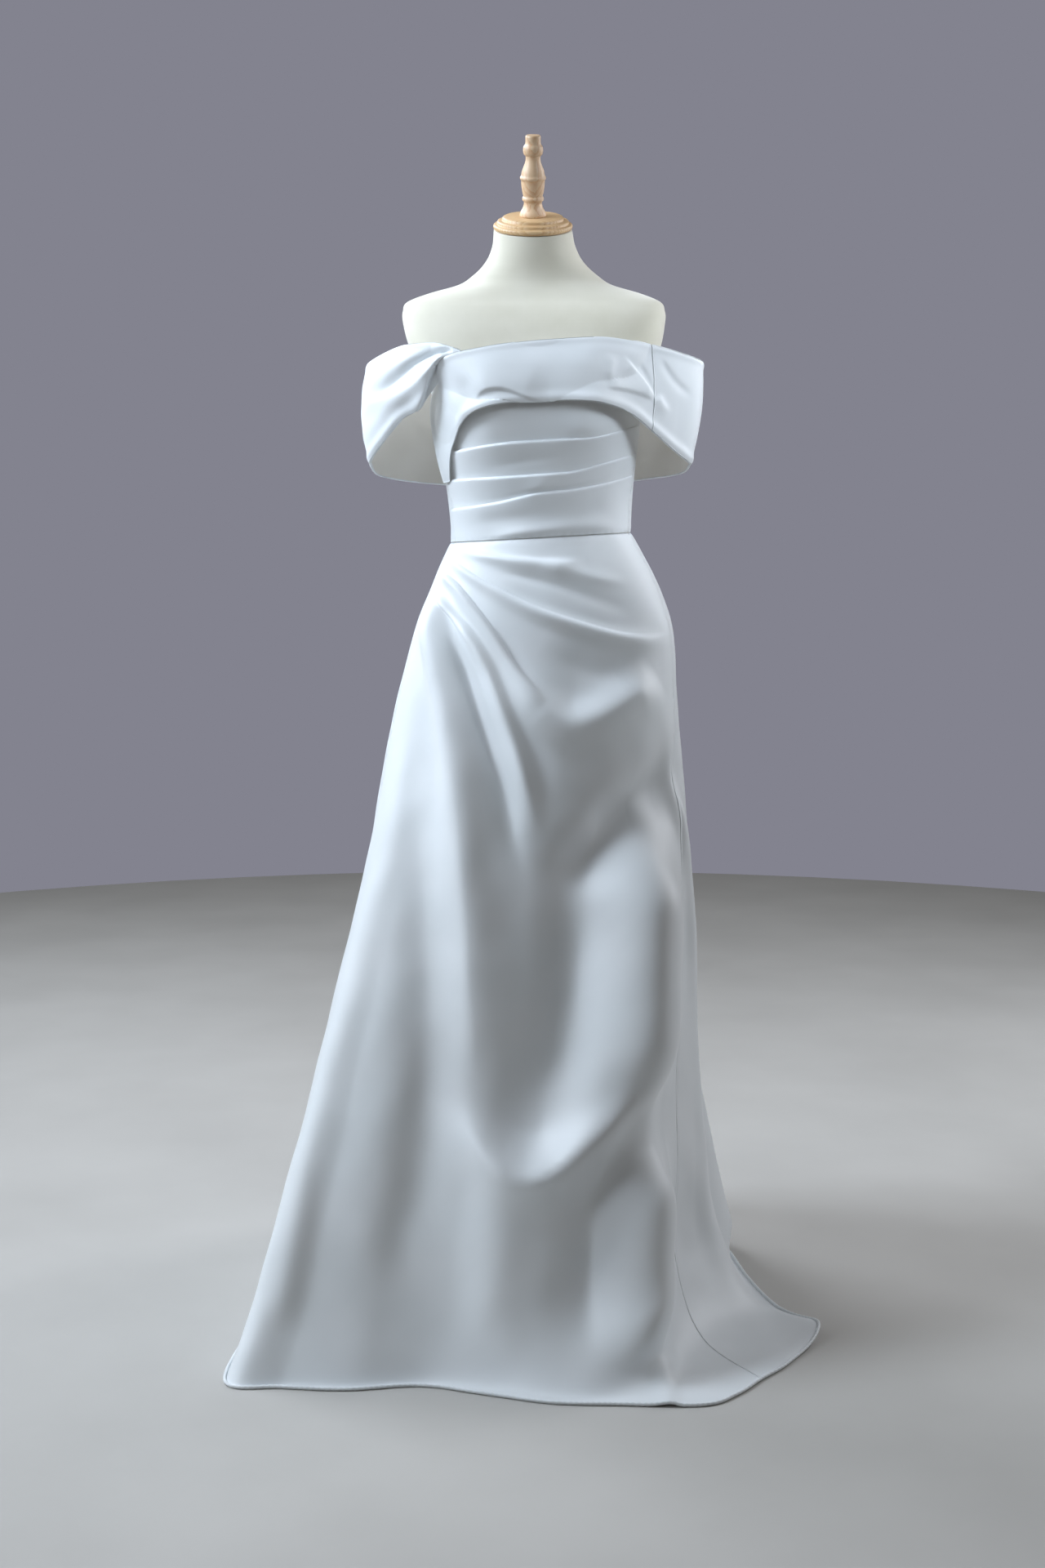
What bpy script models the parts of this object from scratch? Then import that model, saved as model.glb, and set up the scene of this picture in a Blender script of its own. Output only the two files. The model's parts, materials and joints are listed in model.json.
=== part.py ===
"""Off-the-shoulder satin wedding dress on its limbless dress form.

Metres, +Z up. The dress faces -Y, so +X is on the onlooker's right, and `left` and `right` are the
onlooker's. The origin is the middle of the stand's base, on the floor.
"""
import math
from collections import namedtuple

import bmesh
import bpy
import numpy as np
from mathutils import Matrix, Vector

# ---------------------------------------------------------------- driving sizes

WALL = 0.0016                 # satin with its backing
COLLAR_WALL = 0.0024          # the collar is folded double
SEAM_GAP = 0.0003             # between two panels at a seam
FORM_CLEARANCE = 0.0014       # bodice to form
COLLAR_CLEARANCE = 0.0008     # collar to bodice

WAIST_HEIGHT = 1.1105
WAIST_SLOPE = 0.055           # the waist seam climbs towards +X
HIP_HEIGHT = 0.900
NECK_BASE = 1.445             # where the neck starts to lean forwards
NECK_LEAN = math.radians(19.2)
CAP_CENTRE = Vector((-0.0005, -0.012, 1.5375))
NECK_RADIUS = 0.0545

BUST_RISE = 0.010
BUST_SPREAD = 0.046           # sideways and up and down
BUST_APART = 0.070            # from the middle
BUST_HEIGHT = 1.272

BASE_RADIUS = 0.160
BASE_THICKNESS = 0.006
BASE_RIM = 0.002
POLE_RADIUS = 0.016

# Angles run round the body: -90 is the front, 0 is +X, 90 is the back, 180 is -X.
SIDE_FRONT_LEFT = -163.0
SIDE_RIGHT = -14.0
CENTRE_BACK = 90.0
SIDE_BACK_LEFT = 163.0

# ---------------------------------------------------------------- tables

Section = namedtuple("Section", "height centre half_width front back squareness")
FORM_SECTIONS = (
    Section(0.850, 0.0080, 0.118, 0.084, 0.090, 2.0),
    Section(0.862, 0.0080, 0.150, 0.108, 0.116, 2.0),
    Section(0.900, 0.0085, 0.164, 0.117, 0.128, 2.0),
    Section(0.960, 0.0100, 0.163, 0.112, 0.124, 2.0),
    Section(1.030, 0.0115, 0.147, 0.103, 0.106, 2.0),
    Section(1.110, 0.0115, 0.1259, 0.0975, 0.0865, 2.0),
    Section(1.166, 0.0100, 0.1284, 0.1010, 0.0885, 2.0),
    Section(1.220, 0.0085, 0.1352, 0.1110, 0.0935, 2.1),
    Section(1.270, 0.0075, 0.1415, 0.1210, 0.0975, 2.2),
    Section(1.305, 0.0070, 0.1450, 0.1220, 0.0995, 2.3),
    Section(1.340, 0.0050, 0.1600, 0.1170, 0.1005, 2.6),
    Section(1.370, 0.0030, 0.1745, 0.1080, 0.1000, 3.0),
    Section(1.400, 0.0015, 0.1825, 0.0960, 0.0960, 3.2),
    Section(1.425, 0.0010, 0.1840, 0.0800, 0.0850, 3.2),
    Section(1.437, 0.0010, 0.1790, 0.0700, 0.0760, 3.0),
    Section(1.449, 0.0020, 0.1520, 0.0630, 0.0690, 2.4),
    Section(1.462, 0.0030, 0.1090, 0.0580, 0.0640, 2.1),
    Section(1.476, 0.0030, 0.0870, 0.0550, 0.0600, 2.0),
    Section(1.492, 0.0020, 0.0700, 0.0530, 0.0570, 2.0),
    Section(1.512, 0.0010, 0.0590, 0.0520, 0.0540, 2.0),
    Section(1.5372, -0.0005, NECK_RADIUS, 0.0515, 0.0515, 2.0),
)

RingSpan = namedtuple("RingSpan", "low high rings")
FORM_RINGS = (                # close together where the form turns
    RingSpan(0.850, 0.854, 2),
    RingSpan(0.864, 0.864, 1),
    RingSpan(0.895, 1.075, 5),
    RingSpan(1.112, 1.340, 10),
    RingSpan(1.365, 1.390, 2),
    RingSpan(1.412, 1.427, 2),
    RingSpan(1.437, 1.457, 4),
    RingSpan(1.465, 1.476, 2),
    RingSpan(1.492, 1.512, 2),
    RingSpan(1.5372, 1.5372, 1),
)

SkirtRing = namedtuple("SkirtRing", "height centre half_width front back")
SKIRT_RINGS = (
    SkirtRing(1.060, 0.0170, 0.1535, 0.110, 0.106),
    SkirtRing(0.990, 0.0165, 0.1810, 0.121, 0.123),
    SkirtRing(HIP_HEIGHT, 0.0080, 0.1975, 0.136, 0.138),
)

# One row for each line of the skirt's fall, from the left seam across the front and round the back.
Fall = namedtuple("Fall", "name waist_angle hip_angle foot_x foot_y hem_x hem_y flare swell")
FALLS = (
    Fall("seam_left", -163, -172, -0.396, -0.215, -0.404, -0.225, 1.10, 0.000),
    Fall("corner_left", -152, -153, -0.398, -0.346, -0.407, -0.355, 1.12, -0.002),
    Fall("front_1", -141, -137, -0.322, -0.350, -0.333, -0.367, 1.08, 0.000),
    Fall("front_2", -129, -121, -0.238, -0.352, -0.246, -0.374, 1.04, 0.000),
    Fall("front_3", -115, -107, -0.148, -0.340, -0.150, -0.362, 1.02, 0.000),
    Fall("front_4", -100, -94, -0.064, -0.350, -0.064, -0.387, 1.00, 0.000),
    Fall("front_5", -83, -80, 0.018, -0.368, 0.021, -0.413, 1.00, 0.000),
    Fall("front_6", -64, -63, 0.094, -0.372, 0.106, -0.418, 1.00, 0.000),
    Fall("ridge_right", -44, -44, 0.152, -0.326, 0.219, -0.420, 1.00, 0.000),
    Fall("valley_right", -28, -28, 0.176, -0.240, 0.266, -0.388, 1.00, 0.000),
    Fall("seam_right", -14, -14, 0.204, -0.176, 0.303, -0.342, 1.05, 0.004),
    Fall("train_1", -3, 0, 0.246, -0.122, 0.348, -0.288, 1.40, 0.012),
    Fall("train_tip", 8, 13, 0.288, -0.086, 0.402, -0.188, 1.70, 0.018),
    Fall("train_2", 22, 27, 0.298, -0.034, 0.354, -0.096, 1.70, 0.018),
    Fall("train_3", 35, 40, 0.301, 0.040, 0.325, 0.014, 1.55, 0.012),
    Fall("back_1", 48, 52, 0.288, 0.136, 0.304, 0.140, 1.30, 0.006),
    Fall("back_2", 62, 65, 0.240, 0.246, 0.262, 0.290, 1.20, 0.000),
    Fall("back_3", 77, 78, 0.142, 0.330, 0.160, 0.420, 1.15, 0.000),
    Fall("seam_back", 90, 90, 0.024, 0.366, 0.030, 0.480, 1.15, 0.000),
    Fall("back_4", 103, 102, -0.090, 0.346, -0.104, 0.460, 1.15, 0.000),
    Fall("back_5", 117, 115, -0.190, 0.290, -0.214, 0.372, 1.15, 0.000),
    Fall("back_6", 131, 130, -0.268, 0.200, -0.290, 0.248, 1.12, 0.000),
    Fall("back_7", 145, 145, -0.326, 0.082, -0.340, 0.104, 1.10, 0.000),
    Fall("back_8", 160, 160, -0.368, -0.062, -0.378, -0.060, 1.10, 0.000),
    Fall("back_9", 178, 174, -0.385, -0.140, -0.394, -0.145, 1.10, 0.000),
)
FALL_NAMES = [fall.name for fall in FALLS]
FALL_HEIGHTS = (0.68, 0.45, 0.24, 0.08)          # knots between the hip and the floor
SWELL_HEIGHT = 0.62                              # where a line swells out most
SWELL_SPREAD = 0.20
FLOOR_ROUNDING = 0.35                            # how far out the hem has almost reached the floor
FLOOR_ROUNDING_HEIGHT = 0.006
FALL_STEPS = (0.0, 0.05, 0.12, 0.20, 0.38, 0.57, 0.745, 0.875, 0.945, 1.0)
HIP_STEP = FALL_STEPS[len(SKIRT_RINGS)]
SKIRT_ROWS = (                                   # spans of steps and their rows
    RingSpan(0.000, 0.178, 9),
    RingSpan(0.200, 0.776, 10),
    RingSpan(0.840, 1.000, 6),
)
SKIRT_FRONT_COLUMNS = 37
SKIRT_BACK_RIGHT_COLUMNS = 20
SKIRT_BACK_LEFT_COLUMNS = 16
ROOT_LINES = 1.6                                 # the creases grow out of the left seam over so many lines
ROOT_START = 0.12
CREASE_FLOOR = 0.05                              # creases flatten below this height
FOLD_OPEN_STEP = 0.85                            # a fold is fully open here, and flattens further on
FOLD_CLOSE_STEP = 0.90
FOLD_CLOSE_SHARE = 0.8

# Soft folds that open towards the hem: at which line of the fall, how wide, how deep, from which step.
Fold = namedtuple("Fold", "at half_width depth start")
FALL_FOLDS = (
    Fold(15.1, 0.80, 0.022, 0.20),
    Fold(16.5, 0.70, -0.024, 0.18),
    Fold(17.6, 0.75, 0.026, 0.16),
    Fold(19.1, 0.70, -0.022, 0.16),
    Fold(20.3, 0.75, 0.026, 0.15),
    Fold(21.6, 0.65, -0.020, 0.20),
    Fold(22.8, 0.70, 0.016, 0.25),
)

# Creases in front view: a path of (x, z), its rise, and how wide it is above and below the path.
Crease = namedtuple("Crease", "name rise above below start_fade end_fade path")
SKIRT_CREASES = (
    Crease("pleat_1", 0.006, 0.007, 0.020, 0.02, 0.35,
           ((-0.111, 1.103), (-0.073, 1.088), (-0.021, 1.079), (0.035, 1.073), (0.075, 1.070))),
    Crease("pleat_2", 0.011, 0.009, 0.034, 0.02, 0.12,
           ((-0.117, 1.080), (-0.066, 1.051), (-0.010, 1.023), (0.071, 0.986), (0.126, 0.975),
            (0.158, 0.977))),
    Crease("pleat_3", 0.013, 0.012, 0.040, 0.02, 0.18,
           ((-0.129, 1.063), (-0.086, 1.014), (-0.058, 0.981), (-0.029, 0.934), (0.006, 0.890),
            (0.044, 0.862), (0.085, 0.872), (0.127, 0.897), (0.175, 0.910))),
    Crease("pleat_4", 0.014, 0.012, 0.022, 0.02, 0.40,
           ((-0.139, 1.040), (-0.129, 1.018), (-0.103, 0.981), (-0.082, 0.950), (-0.066, 0.905),
            (-0.040, 0.850), (-0.020, 0.790), (-0.006, 0.700))),
    Crease("pleat_5", 0.016, 0.026, 0.030, 0.02, 0.30,
           ((-0.143, 1.035), (-0.141, 0.900), (-0.138, 0.790), (-0.126, 0.629), (-0.112, 0.471),
            (-0.088, 0.314))),
    Crease("hollow_left", -0.012, 0.030, 0.030, 0.30, 0.30,
           ((-0.166, 0.960), (-0.176, 0.736), (-0.186, 0.523), (-0.196, 0.314), (-0.205, 0.150))),
    Crease("hollow_middle", -0.018, 0.060, 0.060, 0.35, 0.30,
           ((0.020, 0.820), (0.000, 0.700), (-0.005, 0.560), (-0.004, 0.440))),
    Crease("swag_low", 0.026, 0.026, 0.060, 0.18, 0.25,
           ((-0.092, 0.345), (-0.070, 0.318), (-0.030, 0.284), (0.004, 0.272), (0.052, 0.316), (0.104, 0.385),
            (0.150, 0.460))),
    Crease("swell_right", 0.016, 0.045, 0.045, 0.35, 0.30,
           ((0.105, 0.640), (0.120, 0.540), (0.118, 0.440))),
    Crease("ridge_low", 0.016, 0.014, 0.024, 0.40, 0.12,
           ((0.168, 0.440), (0.160, 0.320), (0.152, 0.180), (0.147, 0.040))),
    Crease("hollow_low", -0.024, 0.030, 0.034, 0.40, 0.20,
           ((0.118, 0.360), (0.106, 0.250), (0.096, 0.150), (0.092, 0.050))),
)

# The bodice's pleats, from the waist up: their folded edges face up.
Pleat = namedtuple("Pleat", "rise path")
BODICE_PLEATS = (
    Pleat(0.0040, ((-0.120, 1.149), (-0.047, 1.159), (0.001, 1.170), (0.058, 1.177), (0.097, 1.185),
                   (0.145, 1.200))),
    Pleat(0.0042, ((-0.125, 1.190), (-0.063, 1.192), (0.017, 1.197), (0.051, 1.200), (0.097, 1.213),
                   (0.150, 1.231))),
    Pleat(0.0042, ((-0.130, 1.226), (-0.031, 1.239), (0.032, 1.243), (0.085, 1.247), (0.137, 1.264),
                   (0.155, 1.272))),
)
PLEAT_LIP = 0.003             # how far above its edge a pleat has dropped back
PLEAT_FALL = 0.020            # how far below its edge it has faded
PLEAT_FADE_START = 0.020      # towards +X the pleats grow shallower from here
PLEAT_FADE_RUN = 0.120
PLEAT_FADE_SHARE = 0.6
BODICE_TOP = 1.338
BODICE_TOP_DIP = 0.022        # lower under the arms

# The collar, station by station: its lower and upper edge, and how far its middle stands out.
Band = namedtuple("Band", "lower upper belly")
FRONT_BAND = (
    Band((-0.1150, -0.050, 1.189), (-0.1240, -0.038, 1.187), 0.000),
    Band((-0.1125, -0.070, 1.224), (-0.1330, -0.040, 1.222), 0.001),
    Band((-0.1060, -0.085, 1.245), (-0.1395, -0.038, 1.258), 0.002),
    Band((-0.0970, -0.100, 1.264), (-0.1410, -0.050, 1.296), 0.003),
    Band((-0.0840, -0.115, 1.277), (-0.1280, -0.085, 1.327), 0.004),
    Band((-0.0620, -0.125, 1.285), (-0.1050, -0.090, 1.354), 0.004),
    Band((-0.0330, -0.130, 1.290), (-0.0620, -0.110, 1.367), 0.004),
    Band((0.0020, -0.130, 1.291), (-0.0080, -0.115, 1.375), 0.004),
    Band((0.0480, -0.130, 1.293), (0.0480, -0.110, 1.379), 0.004),
    Band((0.0900, -0.125, 1.290), (0.0920, -0.100, 1.381), 0.004),
    Band((0.1290, -0.105, 1.279), (0.1290, -0.090, 1.377), 0.004),
    Band((0.1620, -0.078, 1.257), (0.1610, -0.080, 1.3735), 0.004),
    Band((0.1920, -0.048, 1.234), (0.1980, -0.055, 1.3665), 0.005),
    Band((0.2170, -0.014, 1.217), (0.2340, -0.016, 1.3580), 0.006),
    Band((0.2220, 0.024, 1.2130), (0.2370, 0.026, 1.3545), 0.007),
    Band((0.2120, 0.064, 1.2020), (0.2180, 0.070, 1.3520), 0.007),
    Band((0.1620, 0.104, 1.1950), (0.1720, 0.108, 1.3500), 0.006),
    Band((0.1000, 0.116, 1.1880), (0.1060, 0.119, 1.3480), 0.004),
    Band((0.0460, 0.112, 1.1850), (0.0480, 0.113, 1.3470), 0.001),
    Band((0.0060, 0.110, 1.1840), (0.0060, 0.111, 1.3465), 0.000),
)
FRONT_SEAM = 11.0             # station where the front band is joined to the length round the arm
TWIST_BAND = (
    Band((-0.0980, -0.100, 1.3560), (-0.0940, -0.100, 1.3645), 0.000),
    Band((-0.1180, -0.095, 1.3555), (-0.1110, -0.095, 1.3705), 0.002),
    Band((-0.1420, -0.088, 1.3290), (-0.1330, -0.090, 1.3755), 0.007),
    Band((-0.1600, -0.078, 1.2990), (-0.1560, -0.080, 1.3760), 0.011),
    Band((-0.1840, -0.064, 1.2700), (-0.1800, -0.066, 1.3740), 0.012),
    Band((-0.2080, -0.044, 1.2450), (-0.2060, -0.046, 1.3660), 0.012),
    Band((-0.2290, -0.014, 1.2200), (-0.2300, -0.016, 1.3550), 0.011),
    Band((-0.2330, 0.024, 1.2130), (-0.2340, 0.026, 1.3510), 0.010),
    Band((-0.2230, 0.062, 1.1990), (-0.2180, 0.070, 1.3510), 0.007),
    Band((-0.1660, 0.104, 1.1900), (-0.1680, 0.108, 1.3500), 0.006),
    Band((-0.0960, 0.116, 1.1860), (-0.0960, 0.119, 1.3480), 0.004),
    Band((-0.0360, 0.112, 1.1850), (-0.0380, 0.113, 1.3470), 0.001),
    Band((0.0060, 0.110, 1.1840), (0.0060, 0.111, 1.3465), 0.000),
)
TWIST_FOLDS = (0.24, 0.50, 0.76)      # where the folds out of the twist lie across the sleeve
TWIST_FOLD_RISE = 0.007
TWIST_FOLD_WIDTH = 0.085
BODICE_CLEAR_HEIGHT = 1.352           # above this the collar lies straight on the form
BODICE_CLEAR_BLEND = 0.006

# Where along a band something begins and is complete, in stations.
Stretch = namedtuple("Stretch", "start full")
TWIST_FOLDS_OPEN = Stretch(0.6, 3.6)
TWIST_FOLDS_CLOSE = Stretch(5.0, 8.0)
CHEST_LIFT = 0.0045                   # the front band stands off the bodice's pleats by this much
CHEST_LIFT_OPEN = Stretch(0.0, 2.0)
CHEST_LIFT_CLOSE = Stretch(10.0, 13.0)
TUCK_DEPTH = 0.0036                   # the front band passes over the twist's end by this much
TUCK_STATION = 5.2
TUCK_SPREAD = 1.6
TWIST_LIFT = 0.0018                   # the twist's end keeps this much more off the form
TWIST_LIFT_CLOSE = Stretch(1.5, 3.5)

# Turned profiles, radius and height up the axis.
CAP_PROFILE = ((0.0, 0.0175), (0.0400, 0.0175), (0.0420, 0.0165), (0.0428, 0.0130), (0.0485, 0.0120),
               (0.0500, 0.0105), (0.0502, 0.0080), (0.0545, 0.0068), (0.0555, 0.0045), (0.0548, 0.0015),
               (0.0530, 0.0), (0.0, 0.0))
FINIAL_HEIGHT = 0.108
FINIAL_PROFILE = ((0.0, 1.00), (0.0095, 1.00), (0.0107, 0.985), (0.0107, 0.900), (0.0132, 0.865),
                  (0.0139, 0.820), (0.0132, 0.775), (0.0102, 0.735), (0.0112, 0.660), (0.0150, 0.570), (0.0162, 0.520),
                  (0.0166, 0.505), (0.0180, 0.490), (0.0180, 0.465), (0.0166, 0.450), (0.0158, 0.360),
                  (0.0135, 0.255), (0.0149, 0.235), (0.0149, 0.205), (0.0128, 0.185), (0.0127, 0.150),
                  (0.0150, 0.090), (0.0183, 0.030), (0.0183, 0.0), (0.0, 0.0))

# Zip: slider body, the bail on it and the pull that hangs from the bail.
SLIDER = Vector((0.0056, 0.0026, 0.0090))
BAIL_WIDTH = 0.0014
BAIL_OPENING = 0.0024
BAIL_WALL = 0.0009
PULL = Vector((0.0052, 0.0010, 0.0190))
PULL_WINDOW = Vector((0.0028, 0.0, 0.0044))
PULL_BAR = 0.0010
PULL_SEAT = 0.00035           # the bar lies this far above the bail's lower arm
ZIP_TOP = 1.3330

# Mesh steps: how many pieces each surface is divided into.
FORM_COLUMNS = 40
FORM_STEP = 360.0 / FORM_COLUMNS
BODICE_BACK_ROWS = 9
COLLAR_FRONT_GRID = (34, 7)           # columns along, rows across
COLLAR_RIGHT_GRID = (25, 7)
COLLAR_LEFT_GRID = (34, 9)
CAP_STEPS = 24
FINIAL_STEPS = 15
BASE_STEPS = 36
POLE_STEPS = 24
EDGE_MARGIN = 0.002                   # normals at a surface's edge are read this far inside it
WAIST_SETTLE = 0.03                   # the skirt's folds and slope begin over this step below the waist seam


# ---------------------------------------------------------------- helpers

def smoothstep(value):
    """Ease from 0 to 1."""
    value = np.clip(value, 0.0, 1.0)
    return value * value * (3.0 - 2.0 * value)


def through(knots, values, at):
    """Smooth curve through values at their knots, read at `at`."""
    knots = np.asarray(knots, float)
    values = np.asarray(values, float)
    slopes = np.gradient(values, knots, axis=0)
    at = np.clip(np.asarray(at, float), knots[0], knots[-1])
    index = np.clip(np.searchsorted(knots, at, side="right") - 1, 0, len(knots) - 2)
    step = knots[index + 1] - knots[index]
    part = (at - knots[index]) / step
    if values.ndim > 1:
        step = step[..., None]
        part = part[..., None]
    square = part * part
    cube = square * part
    start = values[index] * (2 * cube - 3 * square + 1) + slopes[index] * step * (cube - 2 * square + part)
    end = values[index + 1] * (3 * square - 2 * cube) + slopes[index + 1] * step * (cube - square)
    return start + end


def section_at(height):
    """The form's section sizes at some heights."""
    rows = np.array(FORM_SECTIONS)
    return Section(height, *(through(rows[:, 0], rows[:, column], height) for column in range(1, 6)))


def bust(x, height):
    """How far the bust carries the front forwards."""
    spread_up = np.exp(-((height - BUST_HEIGHT) / BUST_SPREAD) ** 2)
    left = np.exp(-((x + BUST_APART) / BUST_SPREAD) ** 2)
    right = np.exp(-((x - BUST_APART) / BUST_SPREAD) ** 2)
    return BUST_RISE * spread_up * (left + right)


def power(value, exponent):
    """Signed power, for superellipses."""
    return np.sign(value) * np.abs(value) ** exponent


def torso_point(angle, height, outset):
    """Point on the form's surface, moved out by `outset`; angle in degrees."""
    section = section_at(height)
    radians = np.radians(angle)
    cosine = power(np.cos(radians), 2.0 / section.squareness)
    sine = power(np.sin(radians), 2.0 / section.squareness)
    depth = np.where(sine < 0, section.front, section.back)
    x = section.centre + (section.half_width + outset) * cosine
    y = (depth + outset) * sine
    y = y - bust(x - section.centre, height) * smoothstep(-sine * 4.0)
    return x, y


def lean_neck(x, y, z):
    """Tip the neck's rings forwards, more towards the top."""
    lean = smoothstep((z - NECK_BASE) / (FORM_SECTIONS[-1].height - NECK_BASE))
    return x, y + lean * CAP_CENTRE.y, z + lean * math.tan(NECK_LEAN) * y


def keep_outside(points, outset):
    """Push points that lie inside the body's outline out to `outset` from it."""
    x, y, z = points[..., 0], points[..., 1], points[..., 2]
    section = section_at(z)
    depth = np.where(y < 0, section.front, section.back) + outset
    across = (x - section.centre) / (section.half_width + outset)
    along = y / depth
    exponent = section.squareness
    reach = (np.abs(across) ** exponent + np.abs(along) ** exponent) ** (1.0 / exponent)
    scale = np.where(reach < 1.0, 1.0 / np.maximum(reach, 1e-6), 1.0)
    x = section.centre + (x - section.centre) * scale
    y = y * scale
    y = y - bust(x - section.centre, z) * smoothstep(-y / 0.03)
    return np.stack([x, y, z], axis=-1)


def crease_relief(creases, x, z):
    """Sum of the creases' rises at front-view places."""
    relief = np.zeros(np.broadcast(x, z).shape)
    for crease in creases:
        stations = np.linspace(0.0, 1.0, len(crease.path))
        fine = np.linspace(0.0, 1.0, 6 * (len(crease.path) - 1) + 1)
        path = through(stations, crease.path, fine)
        nearest = np.full(relief.shape, np.inf)
        signed = np.zeros(relief.shape)
        along = np.zeros(relief.shape)
        for number in range(len(path) - 1):
            start = path[number]
            run = path[number + 1] - start
            length = math.hypot(*run)
            offset_x = x - start[0]
            offset_z = z - start[1]
            part = np.clip((offset_x * run[0] + offset_z * run[1]) / length ** 2, 0.0, 1.0)
            distance = np.hypot(offset_x - part * run[0], offset_z - part * run[1])
            side = np.sign(run[0] * offset_z - run[1] * offset_x)
            closer = distance < nearest
            nearest = np.where(closer, distance, nearest)
            signed = np.where(closer, distance * side, signed)
            along = np.where(closer, (number + part) / (len(path) - 1), along)
        width = np.where(signed > 0, crease.above, crease.below)
        fade = smoothstep(along / crease.start_fade) * smoothstep((1.0 - along) / crease.end_fade)
        relief += crease.rise * fade * np.exp(-(signed / width) ** 2)
    return relief


def surface_normals(surface, columns, rows, flat_ends):
    """Outward unit normals of a surface function, level where `flat_ends` says."""
    step = 1e-3
    across = surface(columns + step, rows) - surface(columns - step, rows)
    down = surface(columns, rows + step) - surface(columns, rows - step)
    normal = np.cross(down, across)
    normal[..., 2] *= flat_ends
    return normal / np.linalg.norm(normal, axis=-1, keepdims=True)


def collection_of(name):
    """A collection in the scene."""
    group = bpy.data.collections.new(name)
    bpy.context.scene.collection.children.link(group)
    return group


def material_of(name, colour, roughness, metallic=0.0):
    """A plain finish."""
    material = bpy.data.materials.new(name)
    material.use_nodes = True
    shader = material.node_tree.nodes["Principled BSDF"]
    shader.inputs["Base Color"].default_value = (*colour, 1.0)
    shader.inputs["Roughness"].default_value = roughness
    shader.inputs["Metallic"].default_value = metallic
    return material


def add_object(name, mesh, group, material):
    """An object for a mesh, with its finish."""
    piece = bpy.data.objects.new(name, mesh)
    mesh.materials.append(material)
    group.objects.link(piece)
    return piece


def shade(mesh, angle=40.0):
    """Round surfaces look round, edges stay sharp."""
    mesh.shade_smooth()
    mesh.set_sharp_from_angle(angle=math.radians(angle))


def shorter_diagonals(points):
    """For each quad of a grid, whether the diagonal from its first corner is the shorter one."""
    falling = np.linalg.norm(points[1:, 1:] - points[:-1, :-1], axis=-1)
    rising = np.linalg.norm(points[1:, :-1] - points[:-1, 1:], axis=-1)
    return falling < rising


def grid_faces(falling, first, flip):
    """Triangles of a grid of points numbered from `first`; `falling` says which way each quad is split."""
    rows, columns = falling.shape
    faces = []
    for row in range(rows):
        for column in range(columns):
            corner = first + row * (columns + 1) + column
            below = corner + columns + 1
            if falling[row, column]:
                pair = ((corner, below, below + 1), (corner, below + 1, corner + 1))
            else:
                pair = ((corner, below, corner + 1), (below, below + 1, corner + 1))
            faces += [face[::-1] if flip else face for face in pair]
    return faces


def border_loop(rows, columns):
    """Numbers of a grid's outline points, in order."""
    top = [column for column in range(columns)]
    right = [row * columns + columns - 1 for row in range(1, rows)]
    bottom = [(rows - 1) * columns + column for column in range(columns - 2, -1, -1)]
    left = [row * columns for row in range(rows - 2, 0, -1)]
    return top + right + bottom + left


def cloth_wall(name, inner, outer, group, material):
    """A closed wall of cloth between two grids of points, both split along the same diagonals."""
    rows, columns = inner.shape[:2]
    count = rows * columns
    points = np.concatenate([outer.reshape(-1, 3), inner.reshape(-1, 3)])
    falling = shorter_diagonals((outer + inner) / 2.0)
    faces = grid_faces(falling, 0, False) + grid_faces(falling, count, True)
    loop = border_loop(rows, columns)
    for here, following in zip(loop, loop[1:] + loop[:1]):
        faces.append((following, here, here + count, following + count))
    mesh = bpy.data.meshes.new(name)
    mesh.from_pydata(points.tolist(), [], faces)
    body = bmesh.new()
    body.from_mesh(mesh)
    bmesh.ops.recalc_face_normals(body, faces=body.faces)
    body.to_mesh(mesh)
    body.free()
    shade(mesh)
    return add_object(name, mesh, group, material)


def pull_in_edges(points, gap):
    """Move a grid's first and last column in by half the seam's gap."""
    points = points.copy()
    for edge, neighbour in ((0, 1), (-1, -2)):
        inward = points[:, neighbour] - points[:, edge]
        inward /= np.linalg.norm(inward, axis=-1, keepdims=True)
        points[:, edge] += inward * gap / 2.0
    return points


def turned(name, profile, steps, group, material):
    """A solid turned from a profile of (radius, height), listed from the top down."""
    mesh = bpy.data.meshes.new(name)
    points = [(radius, 0.0, height) for radius, height in profile]
    mesh.from_pydata(points, [(number, number + 1) for number in range(len(points) - 1)], [])
    piece = add_object(name, mesh, group, material)
    screw = piece.modifiers.new("turn", "SCREW")
    screw.steps = steps
    screw.render_steps = steps
    screw.use_merge_vertices = True
    screw.merge_threshold = 1e-5
    screw.use_smooth_shade = True
    return piece


# ---------------------------------------------------------------- dress form and stand

def build_form(group, jersey):
    """The padded body: hips to neck, with flat armhole ends and a leaning neck."""
    heights = np.concatenate([np.linspace(*span) for span in FORM_RINGS])
    angles = np.arange(FORM_COLUMNS) * FORM_STEP
    x, y = torso_point(angles[None, :], heights[:, None], 0.0)
    x, y, z = lean_neck(x, y, heights[:, None] + 0.0 * x)
    points = np.stack([x, y, z], axis=-1).reshape(-1, 3)
    faces = []
    for row in range(len(heights) - 1):
        for column in range(FORM_COLUMNS):
            following = (column + 1) % FORM_COLUMNS
            low = row * FORM_COLUMNS
            high = low + FORM_COLUMNS
            faces.append((low + column, low + following, high + following, high + column))
    faces.append(tuple(reversed(range(FORM_COLUMNS))))
    top = (len(heights) - 1) * FORM_COLUMNS
    faces.append(tuple(range(top, top + FORM_COLUMNS)))
    mesh = bpy.data.meshes.new("form_body")
    mesh.from_pydata(points.tolist(), [], faces)
    shade(mesh)
    add_object("form_body", mesh, group, jersey)


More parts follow.
